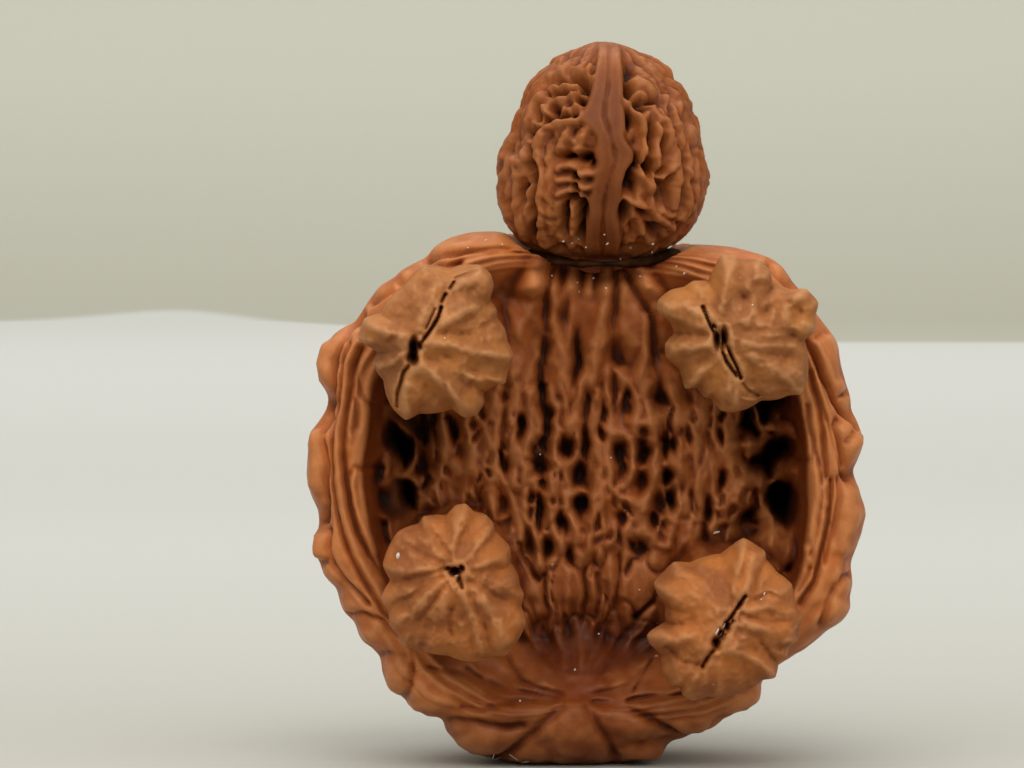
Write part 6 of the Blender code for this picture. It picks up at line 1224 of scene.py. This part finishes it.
# Feet: the base ends of four smaller walnuts, left dry and lighter, set with their stalk holes
# outwards and fixed with glue on the four corners of the belly side.
FEET = {
    "foot_upper_left": {
        "hub": (417, 345), "front": -9.4, "seed": 3,
        "outline": [
            (514, 352), (508, 338), (505, 325), (498, 315), (497, 306), (490, 297), (494, 282),
            (491, 271), (481, 262), (465, 262), (450, 266), (440, 263), (425, 263), (414, 271),
            (404, 283), (391, 295), (383, 310), (366, 315), (360, 336), (370, 342), (379, 348),
            (374, 360), (385, 376), (388, 392), (394, 404), (407, 416), (420, 409), (440, 408),
            (453, 404), (464, 413), (477, 411), (485, 398), (484, 388), (497, 380), (505, 380),
            (508, 367),
        ],
        "seam": [
            ([(478, 266), (466, 271), (456, 275)], 1.8, 0.5),
            ([(455, 278), (451, 284)], 1.6, 0.9),
            ([(447, 290), (443, 297)], 1.6, 1.0),
            ([(443, 302), (440, 312), (434, 322), (427, 331), (421, 342), (416, 352)], 1.7, 1.6),
            ([(436, 304), (432, 314), (428, 322)], 1.3, 0.6),
            ([(414, 356), (407, 366), (403, 376), (400, 388), (399, 400)], 1.9, 0.9),
        ],
        "creases": [
            ([(424, 330), (450, 326), (480, 330), (498, 326)], 4.0, 0.5),
            ([(430, 352), (460, 362), (490, 368), (506, 372)], 4.0, 0.5),
            ([(420, 372), (440, 392), (446, 402)], 5.0, 0.5),
            ([(462, 372), (478, 382), (486, 390)], 4.0, 0.6),
            ([(400, 330), (384, 338), (372, 340)], 4.0, 0.4),
            ([(452, 296), (470, 292), (490, 296)], 5.0, 0.4),
            ([(408, 320), (400, 300), (404, 288)], 5.0, 0.3),
            ([(396, 352), (386, 362), (384, 372)], 3.5, 0.4),
        ],
        "ridges": [
            ([(424, 338), (450, 338), (480, 345), (508, 351)], 6.0, 0.5),
            ([(446, 318), (470, 306), (494, 302)], 6.0, 0.5),
            ([(424, 360), (450, 384), (468, 404)], 7.0, 0.6),
            ([(406, 380), (406, 400), (408, 412)], 5.0, 0.6),
            ([(404, 330), (384, 324), (368, 320)], 6.0, 0.6),
            ([(402, 350), (390, 360), (380, 362)], 4.5, 0.5),
            ([(420, 320), (428, 300), (440, 280)], 6.0, 0.3),
            ([(470, 372), (490, 375), (504, 376)], 4.5, 0.4),
            ([(458, 282), (474, 272), (486, 268)], 6.0, 0.4),
        ],
        "holes": [(416, 343, 3.5, 9, 4.0), (415, 352, 4, 6, 3.6), (421, 340, 3, 4, 2.5)],
        "dimples": [
            (426, 281, 6, 5, 0.5), (467, 312, 11, 10, 0.6), (412, 288, 5, 8, 0.3), (486, 322, 7, 5, 0.4),
            (450, 350, 12, 5, 0.4), (478, 358, 10, 5, 0.4), (474, 284, 6, 5, 0.2),
        ],
    },
    "foot_upper_right": {
        "hub": (716, 332), "front": -9.0, "seed": 8,
        "outline": [
            (815, 299), (812, 311), (813, 326), (801, 336), (804, 350), (804, 374), (799, 390),
            (785, 391), (775, 395), (758, 396), (745, 404), (730, 408), (718, 406), (709, 394),
            (702, 393), (694, 383), (683, 385), (680, 374), (677, 365), (664, 353), (663, 340),
            (673, 329), (668, 318), (655, 307), (656, 297), (668, 287), (682, 284), (690, 278),
            (706, 278), (712, 264), (719, 252), (731, 252), (740, 257), (756, 257), (766, 266),
            (769, 282), (777, 283), (788, 287), (802, 285), (809, 292),
        ],
        "seam": [
            ([(699, 301), (703, 313), (708, 323), (714, 334), (718, 345), (722, 355), (728, 363),
              (732, 369)], 1.5, 1.3),
            ([(709, 319), (715, 326), (720, 334), (724, 342), (727, 352), (732, 361),
              (736, 371)], 1.5, 1.5),
            ([(738, 376), (745, 385), (754, 391)], 1.5, 0.4),
        ],
        "creases": [
            ([(728, 322), (755, 324), (780, 326), (796, 330)], 4.0, 0.5),
            ([(700, 306), (696, 290), (698, 282)], 4.0, 0.4),
            ([(704, 330), (690, 328), (674, 328)], 4.0, 0.5),
            ([(704, 352), (690, 362), (682, 372)], 4.0, 0.4),
            ([(708, 372), (704, 388)], 4.0, 0.4),
            ([(742, 376), (770, 378), (796, 382)], 4.0, 0.4),
            ([(745, 262), (748, 284), (742, 300)], 4.0, 0.4),
            ([(770, 286), (776, 300), (772, 318)], 4.0, 0.4),
        ],
        "ridges": [
            ([(706, 312), (684, 300), (662, 300)], 8.0, 0.7),
            ([(704, 340), (686, 342), (668, 345)], 6.0, 0.6),
            ([(716, 300), (722, 280), (726, 260)], 7.0, 0.6),
            ([(740, 314), (770, 294), (800, 292)], 5.0, 0.5),
            ([(740, 336), (770, 340), (800, 344)], 7.0, 0.5),
            ([(730, 384), (732, 398)], 9.0, 0.4),
            ([(748, 350), (770, 362), (796, 366)], 8.0, 0.4),
            ([(712, 322), (717, 333), (722, 347), (730, 362)], 1.3, 0.9),
            ([(696, 366), (690, 376)], 5.0, 0.4),
            ([(738, 390), (752, 395), (764, 393)], 2.2, 0.4),
            ([(800, 318), (808, 322)], 4.0, 0.4),
        ],
        "holes": [(713, 333, 3.5, 8, 3.0), (719, 333, 3.5, 9, 3.4)],
        "dimples": [
            (739, 293, 5, 5, 0.9), (755, 281, 6, 6, 0.7), (762, 306, 6, 6, 0.9), (794, 307, 8, 7, 0.9),
            (784, 297, 6, 5, 0.5), (787, 330, 7, 4, 0.8), (748, 268, 8, 6, 0.4), (756, 355, 10, 7, 0.3),
            (780, 356, 8, 7, 0.3), (735, 330, 8, 6, 0.2),
        ],
    },
    "foot_lower_left": {
        "hub": (457, 563), "front": -8.6, "seed": 5,
        "outline": [
            (524, 588), (521, 600), (526, 616), (518, 634), (508, 648), (492, 652), (467, 655),
            (449, 649), (425, 645), (404, 639), (399, 629), (391, 619), (390, 604), (382, 592),
            (386, 583), (392, 574), (384, 559), (387, 548), (392, 537), (399, 526), (412, 520),
            (420, 518), (424, 511), (447, 510), (456, 500), (466, 498), (474, 506), (486, 509),
            (494, 518), (495, 526), (503, 533), (510, 541), (511, 557), (518, 569), (520, 580),
        ],
        "seam": [([(458, 563), (461, 571), (463, 579)], 1.8, 1.0)],
        "creases": [
            ([(451, 552), (444, 536), (434, 524), (426, 514)], 3.0, 0.5),
            ([(458, 548), (462, 530), (474, 508)], 3.0, 0.4),
            ([(468, 554), (482, 540), (496, 527)], 3.0, 0.4),
            ([(474, 562), (494, 560), (512, 562)], 3.0, 0.4),
            ([(470, 572), (492, 584), (520, 600)], 3.0, 0.5),
            ([(468, 584), (478, 600), (486, 620), (492, 642)], 3.0, 0.5),
            ([(452, 600), (450, 612), (452, 626)], 2.6, 0.4),
            ([(448, 574), (434, 592), (420, 612), (412, 632)], 3.0, 0.5),
            ([(444, 568), (424, 580), (400, 594), (388, 602)], 3.0, 0.4),
            ([(444, 560), (420, 566), (394, 574)], 3.0, 0.5),
            ([(444, 552), (420, 544), (400, 530)], 3.0, 0.4),
            ([(470, 622), (474, 640)], 3.0, 0.4),
        ],
        "ridges": [
            ([(462, 582), (470, 600), (478, 622), (482, 642)], 6.0, 0.4),
            ([(478, 580), (492, 604), (506, 630)], 8.0, 0.6),
            ([(446, 584), (438, 610), (434, 634)], 7.0, 0.4),
            ([(440, 574), (420, 592), (402, 612)], 7.0, 0.5),
            ([(436, 562), (412, 560), (392, 560)], 6.0, 0.4),
            ([(440, 546), (424, 530)], 6.0, 0.4),
            ([(452, 536), (462, 508)], 6.0, 0.5),
            ([(474, 546), (492, 520)], 6.0, 0.4),
            ([(480, 556), (506, 550)], 6.0, 0.4),
            ([(484, 572), (514, 578)], 6.0, 0.4),
            ([(452, 574), (455, 580), (459, 575)], 2.0, 0.5),
        ],
        "holes": [
            (456, 563, 4.5, 4, 3.4), (462, 559, 2.5, 3, 2.0), (450, 560, 3, 2, 1.2), (460, 570, 2, 5, 1.4),
        ],
        "dimples": [
            (465, 607, 10, 12, 0.5), (430, 616, 10, 12, 0.5), (424, 636, 4, 3, 0.5), (410, 602, 4, 8, 0.3),
            (500, 560, 6, 5, 0.2), (442, 640, 6, 4, 0.3), (404, 548, 6, 5, 0.3),
        ],
    },
    "foot_lower_right": {
        "hub": (719, 622), "front": -9.0, "seed": 6,
        "outline": [
            (799, 611), (796, 624), (795, 634), (786, 641), (785, 649), (776, 655), (773, 671),
            (760, 673), (748, 683), (735, 687), (705, 690), (690, 694), (681, 689), (678, 680),
            (670, 679), (661, 666), (660, 648), (648, 637), (645, 629), (650, 624), (664, 616),
            (664, 599), (655, 587), (652, 577), (662, 566), (672, 556), (688, 557), (703, 551),
            (719, 548), (729, 540), (741, 532), (753, 539), (763, 546), (763, 553), (774, 566),
            (789, 578), (791, 590), (794, 600),
        ],
        "seam": [
            ([(742, 586), (735, 597), (729, 606), (721, 616), (714, 625), (710, 634)], 1.6, 1.6),
            ([(729, 610), (725, 618), (720, 628), (714, 636), (708, 642)], 1.5, 1.4),
            ([(709, 638), (704, 648), (700, 656)], 1.6, 1.0),
        ],
        "creases": [
            ([(724, 574), (727, 586), (729, 598)], 1.8, 0.4),
            ([(664, 638), (680, 651), (694, 653), (703, 648)], 2.4, 0.6),
            ([(752, 590), (764, 584), (780, 590)], 2.2, 0.5),
            ([(738, 604), (760, 612), (786, 612)], 2.6, 0.4),
            ([(734, 618), (752, 628), (770, 650)], 3.0, 0.5),
            ([(700, 600), (684, 614), (664, 618)], 4.0, 0.5),
            ([(708, 592), (690, 570), (688, 560)], 4.0, 0.4),
            ([(762, 550), (756, 566), (752, 580)], 3.0, 0.5),
            ([(722, 546), (722, 562)], 3.0, 0.4),
            ([(736, 640), (742, 664), (746, 682)], 4.0, 0.5),
            ([(776, 640), (786, 634), (794, 632)], 2.2, 0.4),
            ([(700, 664), (694, 680)], 4.0, 0.3),
        ],
        "ridges": [
            ([(740, 588), (744, 570), (750, 548)], 6.0, 0.6),
            ([(733, 602), (727, 614), (720, 626), (712, 642)], 2.6, 0.7),
            ([(718, 618), (713, 627), (710, 636)], 1.2, 0.9),
            ([(700, 578), (690, 568)], 8.0, 0.3),
            ([(690, 590), (666, 582)], 9.0, 0.4),
            ([(694, 634), (664, 630)], 8.0, 0.5),
            ([(690, 662), (678, 670)], 8.0, 0.3),
            ([(742, 600), (766, 598), (788, 602)], 6.0, 0.4),
            ([(740, 612), (770, 622), (792, 620)], 6.0, 0.4),
            ([(730, 640), (752, 650), (770, 664)], 6.0, 0.5),
            ([(716, 660), (716, 684)], 9.0, 0.4),
            ([(734, 562), (740, 542)], 6.0, 0.4),
        ],
        "holes": [(713, 632, 4, 6, 3.0), (723, 617, 3, 5, 2.6), (717, 624, 3.5, 5, 2.4)],
        "dimples": [
            (760, 602, 8, 4, 0.3), (752, 640, 10, 6, 0.4), (700, 612, 8, 6, 0.2), (684, 600, 8, 6, 0.2),
            (770, 574, 6, 5, 0.3), (712, 556, 6, 4, 0.3),
        ],
    },
}


def foot_points(way, foot):
    """A walnut's base end: ribs run out from the hub to the tips of the outline."""
    outline = foot["ring"]
    polar = np.arccos(np.clip(-way[:, 1], -1.0, 1.0))
    turn = np.arctan2(way[:, 2], way[:, 0])
    angle = np.degrees(turn) % 360.0
    tip = outline(angle)
    mean = foot["soft"](angle)
    widest = math.radians(100)
    out = np.where(polar < widest, np.sin(polar / widest * math.pi / 2), 1.0)
    behind = np.clip((polar - widest) / (math.pi - widest), 0.0, 1.0)
    front_y = foot["front"]
    wide_y = -3.6
    back_y = foot["seat"] - SEAT_GAP
    middle_x = to_x(foot["middle"][0])
    middle_z = to_z(foot["middle"][1])
    lobes = mean + (tip - mean) * smooth(0.15, 0.85, out)
    seat_x = to_x(foot["seat_at"][0])
    seat_z = to_z(foot["seat_at"][1])
    radius = lobes * out
    x = middle_x + radius * np.cos(turn)
    z = middle_z + radius * np.sin(turn)
    hub_x = to_x(foot["hub"][0])
    hub_z = to_z(foot["hub"][1])
    reach = np.hypot(x - hub_x, z - hub_z)
    dome = 1.0 - np.sqrt(np.clip(1.0 - out ** 2.6, 0.0, 1.0))
    lean = 0.12 * reach
    y = front_y + (wide_y - front_y) * dome + lean * (1.0 - smooth(0.55, 1.0, out))

    # Ribs that rise towards the tips, soft wrinkles, dimples, seam and holes.
    hub_turn = np.degrees(np.arctan2(z - hub_z, x - hub_x))
    bulge = foot["hub_ring"](hub_turn) - foot["hub_soft"](hub_turn)
    ribs = bulge * 0.52 * smooth(1.2, 5.5, reach) * (1.0 - 0.5 * smooth(0.85, 1.0, out))
    wrinkle = 0.3 * noise(x / 1.7, z / 1.7, x * 0.0, 60 + foot["seed"])
    wrinkle = wrinkle + 0.13 * noise(x / 0.75, z / 0.75, x * 0.0, 70 + foot["seed"])
    line_x, line_z = wander(x, z, 0.1, 80 + foot["seed"])
    seam = np.maximum(raised(line_x, line_z, foot["seam"]), blobs(line_x, line_z, foot["holes"], 1.5))
    uneven = 0.42 + 0.35 * noise(x / 1.5, z / 1.5, x * 0.0, 100 + foot["seed"])
    soft = 0.9 * raised(line_x, line_z, foot["ridges"]) - uneven * raised(line_x, line_z, foot["creases"])
    grain = 0.06 * noise(x / 0.35, z / 0.35, x * 0.0, 90 + foot["seed"])
    relief = ribs + wrinkle + grain + soft - seam - blobs(x, z, foot["dimples"], 0.8)
    facing = 1.0 - smooth(0.93, 1.0, out)
    y = y - relief * facing

    # Flanks drawn in to the flat back that sits on the body.
    back = polar > widest
    t = smooth(0.0, 1.0, np.clip(behind / 0.6, 0.0, 1.0))
    flat = np.clip((behind - 0.6) / 0.4, 0.0, 1.0)
    grown = lobes + (FOOT_SEAT_RADIUS - lobes) * t ** 0.8
    grown = grown * (1.0 - flat)
    centre_x = middle_x + (seat_x - middle_x) * t
    centre_z = middle_z + (seat_z - middle_z) * t
    x = np.where(back, centre_x + grown * np.cos(turn), x)
    z = np.where(back, centre_z + grown * np.sin(turn), z)
    y = np.where(back, wide_y + (back_y - wide_y) * np.clip(behind / 0.6, 0.0, 1.0) ** 0.9, y)
    return np.stack([x, y, z], axis=1)


feet = []
for name, foot in FEET.items():
    foot["seat_at"] = FOOT_SEATS[name][:2]
    foot["seat"] = FOOT_SEATS[name][2]
    us = [p[0] for p in foot["outline"]]
    vs = [p[1] for p in foot["outline"]]
    foot["middle"] = ((min(us) + max(us)) / 2, (min(vs) + max(vs)) / 2)
    foot["ring"] = ring(foot["outline"], foot["middle"], 1.2)
    foot["soft"] = ring(foot["outline"], foot["middle"], 16.0)
    foot["hub_ring"] = ring(foot["outline"], foot["hub"], 4.0)
    foot["hub_soft"] = ring(foot["outline"], foot["hub"], 18.0)
    piece = walnut_mesh(name + "_skin", 59, 0, LIFT_ROUNDS, lambda way: foot_points(way, foot))
    yellow = 1.0 if "upper" in name else 0.0
    piece.data.materials.append(
        walnut_skin(
            name + " dry walnut",
            {
                "Ridge": (0.43, 0.182 + 0.018 * yellow, 0.068 + 0.010 * yellow, 1),
                "Face": (0.26, 0.083 + 0.009 * yellow, 0.024 + 0.004 * yellow, 1),
                "Warm": (0.39 - 0.01 * yellow, 0.128 + 0.013 * yellow, 0.030 + 0.006 * yellow, 1),
                "Hollow": (0.02, 0.008, 0.004, 1),
                "Hollow Reach": 0.65,
                "Wrinkle Size": 1.4,
                "Roughness": 0.62,
                "Specks": 0.35,
            },
            subsurface=0.08, coat=0.0, bump=0.00008,
        )
    )
    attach(piece, "root")
    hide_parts(name)
    feet.append(piece)


# Dust and lint: pale crumbs and short fibres that cling to the nuts, most of them under the
# head, one broad flake on the lower left foot and split fibres in the cracks of the feet.
FLECKS = [
    (400, 548, 7, 4, 80), (716, 536, 11, 2.5, 15), (563, 240, 3, 2, 0), (572, 242, 2, 2, 0),
    (604, 233, 2, 2, 0), (607, 242, 4, 1.5, 40), (652, 243, 3, 2, 20), (652, 252, 2, 2, 0),
    (586, 246, 2, 1.5, 0), (578, 238, 2, 1.5, 0), (630, 247, 2, 2, 0), (620, 258, 4, 1.5, 100),
    (684, 272, 4, 2, 50), (676, 266, 2, 2, 0), (593, 279, 3, 2, 30), (640, 276, 2, 1.5, 0),
    (577, 283, 2, 1.5, 0), (606, 288, 2, 2, 0), (552, 276, 2, 2, 0), (611, 459, 2, 2, 0),
    (540, 456, 2, 2, 0), (575, 671, 3, 2, 60), (599, 638, 2, 2, 0), (760, 584, 4, 2, 80),
    (757, 590, 2, 2, 0), (713, 620, 8, 1.6, 62), (717, 626, 7, 1.4, 58), (720, 615, 6, 1.4, 66),
    (457, 567, 4, 1.4, 20), (486, 240, 3, 1.5, 10), (502, 244, 2, 2, 0), (468, 247, 2, 1.5, 0),
    (446, 332, 2, 2, 0), (748, 300, 2, 2, 0), (500, 762, 15, 0.9, 20), (514, 758, 12, 0.9, 145),
    (494, 755, 10, 0.9, 70), (526, 763, 9, 0.9, 10), (482, 655, 5, 1.2, 15), (466, 658, 4, 1.2, 160),
    (640, 592, 2, 1.5, 0), (520, 700, 2, 2, 0),
]
CRUMB_LIFT = 0.00004
found = []
for piece in [body, head] + feet:
    corners = [vertex.co.copy() for vertex in piece.data.vertices]
    found.append(BVHTree.FromPolygons(corners, [tuple(face.vertices) for face in piece.data.polygons]))
crumbs = bmesh.new()
for u, v, long, wide, turn in FLECKS:
    start = Vector((float(to_x(u)) * 0.001, -0.05, float(to_z(v)) * 0.001))
    hits = [tree.ray_cast(start, Vector((0.0, 1.0, 0.0))) for tree in found]
    hits = [hit for hit in hits if hit[0] is not None]
    if not hits:
        continue
    spot, normal = min(hits, key=lambda hit: hit[3])[:2]
    size = Matrix.Diagonal((long / SKETCH * 0.0005, wide / SKETCH * 0.0004, wide / SKETCH * 0.0005, 1.0))
    flat = Matrix.Rotation(math.radians(-turn), 4, "Y")
    bmesh.ops.create_icosphere(
        crumbs, subdivisions=2, radius=1.0,
        matrix=Matrix.Translation(spot + CRUMB_LIFT * normal) @ flat @ size,
    )
mesh = bpy.data.meshes.new("dust_flecks")
crumbs.to_mesh(mesh)
crumbs.free()
dust = bpy.data.objects.new("dust_flecks", mesh)
bpy.context.scene.collection.objects.link(dust)
lint = bpy.data.materials.new("pale lint")
lint.use_nodes = True
tree = lint.node_tree
shader = tree.nodes["Principled BSDF"]
place = tree.nodes.new("ShaderNodeTexCoord")
mottle = tree.nodes.new("ShaderNodeTexNoise")
mottle.inputs["Scale"].default_value = 4000.0
link(tree, place.outputs["Object"], mottle.inputs["Vector"])
shade = tree.nodes.new("ShaderNodeValToRGB")
shade.color_ramp.elements[0].position = 0.3
shade.color_ramp.elements[0].color = (0.42, 0.34, 0.27, 1)
shade.color_ramp.elements[1].position = 0.7
shade.color_ramp.elements[1].color = (0.66, 0.60, 0.53, 1)
link(tree, mottle.outputs["Fac"], shade.inputs[0])
link(tree, shade.outputs[0], shader.inputs["Base Color"])
shader.inputs["Roughness"].default_value = 0.85
dust.data.materials.append(lint)
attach(dust, "root")


# Table cloth and backdrop: one pale sheet that runs level under the figure and rises softly
# far behind it, as in a small photo studio.
SHEET_WIDTH = 4.0
SHEET_START = -1.2
SHEET_LENGTH = 3.4
SHEET_BELOW = 0.00005
BEND_START = 0.95
BEND_RUN = 0.35
bpy.ops.object.select_all(action="DESELECT")
bpy.ops.mesh.primitive_plane_add(size=1.0)
stage = bpy.context.object
stage.name = "studio_sheet"
bpy.ops.object.mode_set(mode="EDIT")
bpy.ops.mesh.select_all(action="SELECT")
bpy.ops.mesh.subdivide(number_cuts=63)
bpy.ops.object.mode_set(mode="OBJECT")
for vertex in stage.data.vertices:
    u = vertex.co.x
    t = vertex.co.y + 0.5
    run = SHEET_START + SHEET_LENGTH * t
    turned = min(max((run - BEND_START) / BEND_RUN, 0.0), 1.0)
    bend = turned * math.pi / 2
    past = max(run - BEND_START - BEND_RUN, 0.0)
    radius = BEND_RUN / (math.pi / 2)
    vertex.co = (
        u * SHEET_WIDTH,
        min(run, BEND_START) + radius * math.sin(bend),
        radius * (1 - math.cos(bend)) + past - SHEET_BELOW,
    )
bpy.ops.object.shade_smooth()
cloth = bpy.data.materials.new("pale cloth")
cloth.use_nodes = True
tree = cloth.node_tree
shader = tree.nodes["Principled BSDF"]
shader.inputs["Roughness"].default_value = 0.95
shader.inputs["Specular IOR Level"].default_value = 0.1
place = tree.nodes.new("ShaderNodeTexCoord")
split = tree.nodes.new("ShaderNodeSeparateXYZ")
link(tree, place.outputs["Object"], split.inputs[0])


def sum_node(operation, a, b):
    node = tree.nodes.new("ShaderNodeMath")
    node.operation = operation
    for i, value in enumerate((a, b)):
        if isinstance(value, float):
            node.inputs[i].default_value = value
        else:
            link(tree, value, node.inputs[i])
    return node.outputs[0]


def share_node(value, low, high):
    node = tree.nodes.new("ShaderNodeMapRange")
    node.interpolation_type = "SMOOTHSTEP"
    node.inputs["From Min"].default_value = low
    node.inputs["From Max"].default_value = high
    link(tree, value, node.inputs["Value"])
    return node.outputs["Result"]


def blend_node(share, a, b):
    node = tree.nodes.new("ShaderNodeMix")
    node.data_type = "RGBA"
    for socket, value in ((node.inputs[0], share), (node.inputs[6], a), (node.inputs[7], b)):
        if isinstance(value, tuple):
            socket.default_value = value
        else:
            link(tree, value, socket)
    return node.outputs[2]


# Painted shade: the cloth is darker towards the camera and paler far behind the figure, for light that
# comes from above and behind.
near_cloth = share_node(split.outputs["Y"], -0.04, 0.30)
near_cloth = blend_node(near_cloth, (0.415, 0.405, 0.36, 1), (0.52, 0.52, 0.485, 1))
cloth_colour = blend_node(share_node(split.outputs["Y"], 0.30, 0.85), near_cloth, (0.715, 0.715, 0.685, 1))
wall_colour = share_node(split.outputs["Z"], 0.0, 0.07)
wall_colour = blend_node(wall_colour, (0.535, 0.52, 0.435, 1), (0.605, 0.595, 0.51, 1))
hump = sum_node("DIVIDE", sum_node("ADD", split.outputs["X"], 0.084), 0.026)
hump = sum_node("DIVIDE", 0.05, sum_node("ADD", sum_node("MULTIPLY", hump, hump), 1.0))
edge = sum_node("SUBTRACT", split.outputs["Y"], hump)
edge = sum_node("ADD", edge, sum_node("MULTIPLY", share_node(split.outputs["X"], -0.09, 0.06), 0.09))
sheet_colour = blend_node(share_node(edge, 0.893, 0.917), cloth_colour, wall_colour)
link(tree, sheet_colour, shader.inputs["Base Color"])
weave = tree.nodes.new("ShaderNodeTexNoise")
weave.inputs["Scale"].default_value = 900.0
weave.inputs["Detail"].default_value = 2.0
link(tree, place.outputs["Object"], weave.inputs["Vector"])
press = tree.nodes.new("ShaderNodeBump")
press.inputs["Distance"].default_value = 0.0002
press.inputs["Strength"].default_value = 0.25
link(tree, weave.outputs["Fac"], press.inputs["Height"])
link(tree, press.outputs["Normal"], shader.inputs["Normal"])
stage.data.materials.append(cloth)


# Soft studio light: a wide window high on the left, a weaker one on the right and one above and
# behind, with pale air all round.
for name, spot, size, power, colour in (
    ("window", (-0.28, -0.62, 0.78), 1.1, 9.0, (1.0, 0.985, 0.95)),
    ("fill", (0.45, -0.60, 0.70), 1.1, 6.1, (1.0, 0.985, 0.96)),
    ("sky", (-0.10, 0.35, 1.00), 1.0, 5.5, (1.0, 1.0, 1.0)),
):
    light = bpy.data.lights.new(name, "AREA")
    light.size = size
    light.energy = power
    light.color = colour
    lamp = bpy.data.objects.new(name, light)
    bpy.context.scene.collection.objects.link(lamp)
    lamp.location = spot
    aim = Vector((0.0, 0.0, 0.03)) - lamp.location
    lamp.rotation_euler = aim.to_track_quat("-Z", "Y").to_euler()
air = bpy.data.worlds.new("air")
bpy.context.scene.world = air
air.use_nodes = True
air.node_tree.nodes["Background"].inputs["Color"].default_value = (0.94, 0.95, 0.93, 1)
air.node_tree.nodes["Background"].inputs["Strength"].default_value = 0.44
bpy.context.scene.view_settings.view_transform = "Standard"


# Camera: a long lens level with the belly and a little above it, set so that the sketch's
# 1024 units span the width of the picture at the depth of the flange.
CAMERA_TILT = math.radians(3.0)
CAMERA_FAR = 0.6
SENSOR = 36.0
PICTURE_WIDE = 1024.0
PICTURE_HIGH = 768.0
FLANGE_Y = -0.006
view_middle = Vector((to_x(PICTURE_WIDE / 2) * 0.001, FLANGE_Y, to_z(PICTURE_HIGH / 2) * 0.001))
lens = bpy.data.cameras.new("camera")
lens.sensor_width = SENSOR
lens.lens = SENSOR * CAMERA_FAR / (PICTURE_WIDE / SKETCH * 0.001)
lens.clip_start = 0.01
lens.clip_end = 20.0
camera = bpy.data.objects.new("camera", lens)
bpy.context.scene.collection.objects.link(camera)
camera.location = view_middle + CAMERA_FAR * Vector((0.0, -math.cos(CAMERA_TILT), math.sin(CAMERA_TILT)))
camera.rotation_euler = (view_middle - camera.location).to_track_quat("-Z", "Y").to_euler()
bpy.context.scene.camera = camera
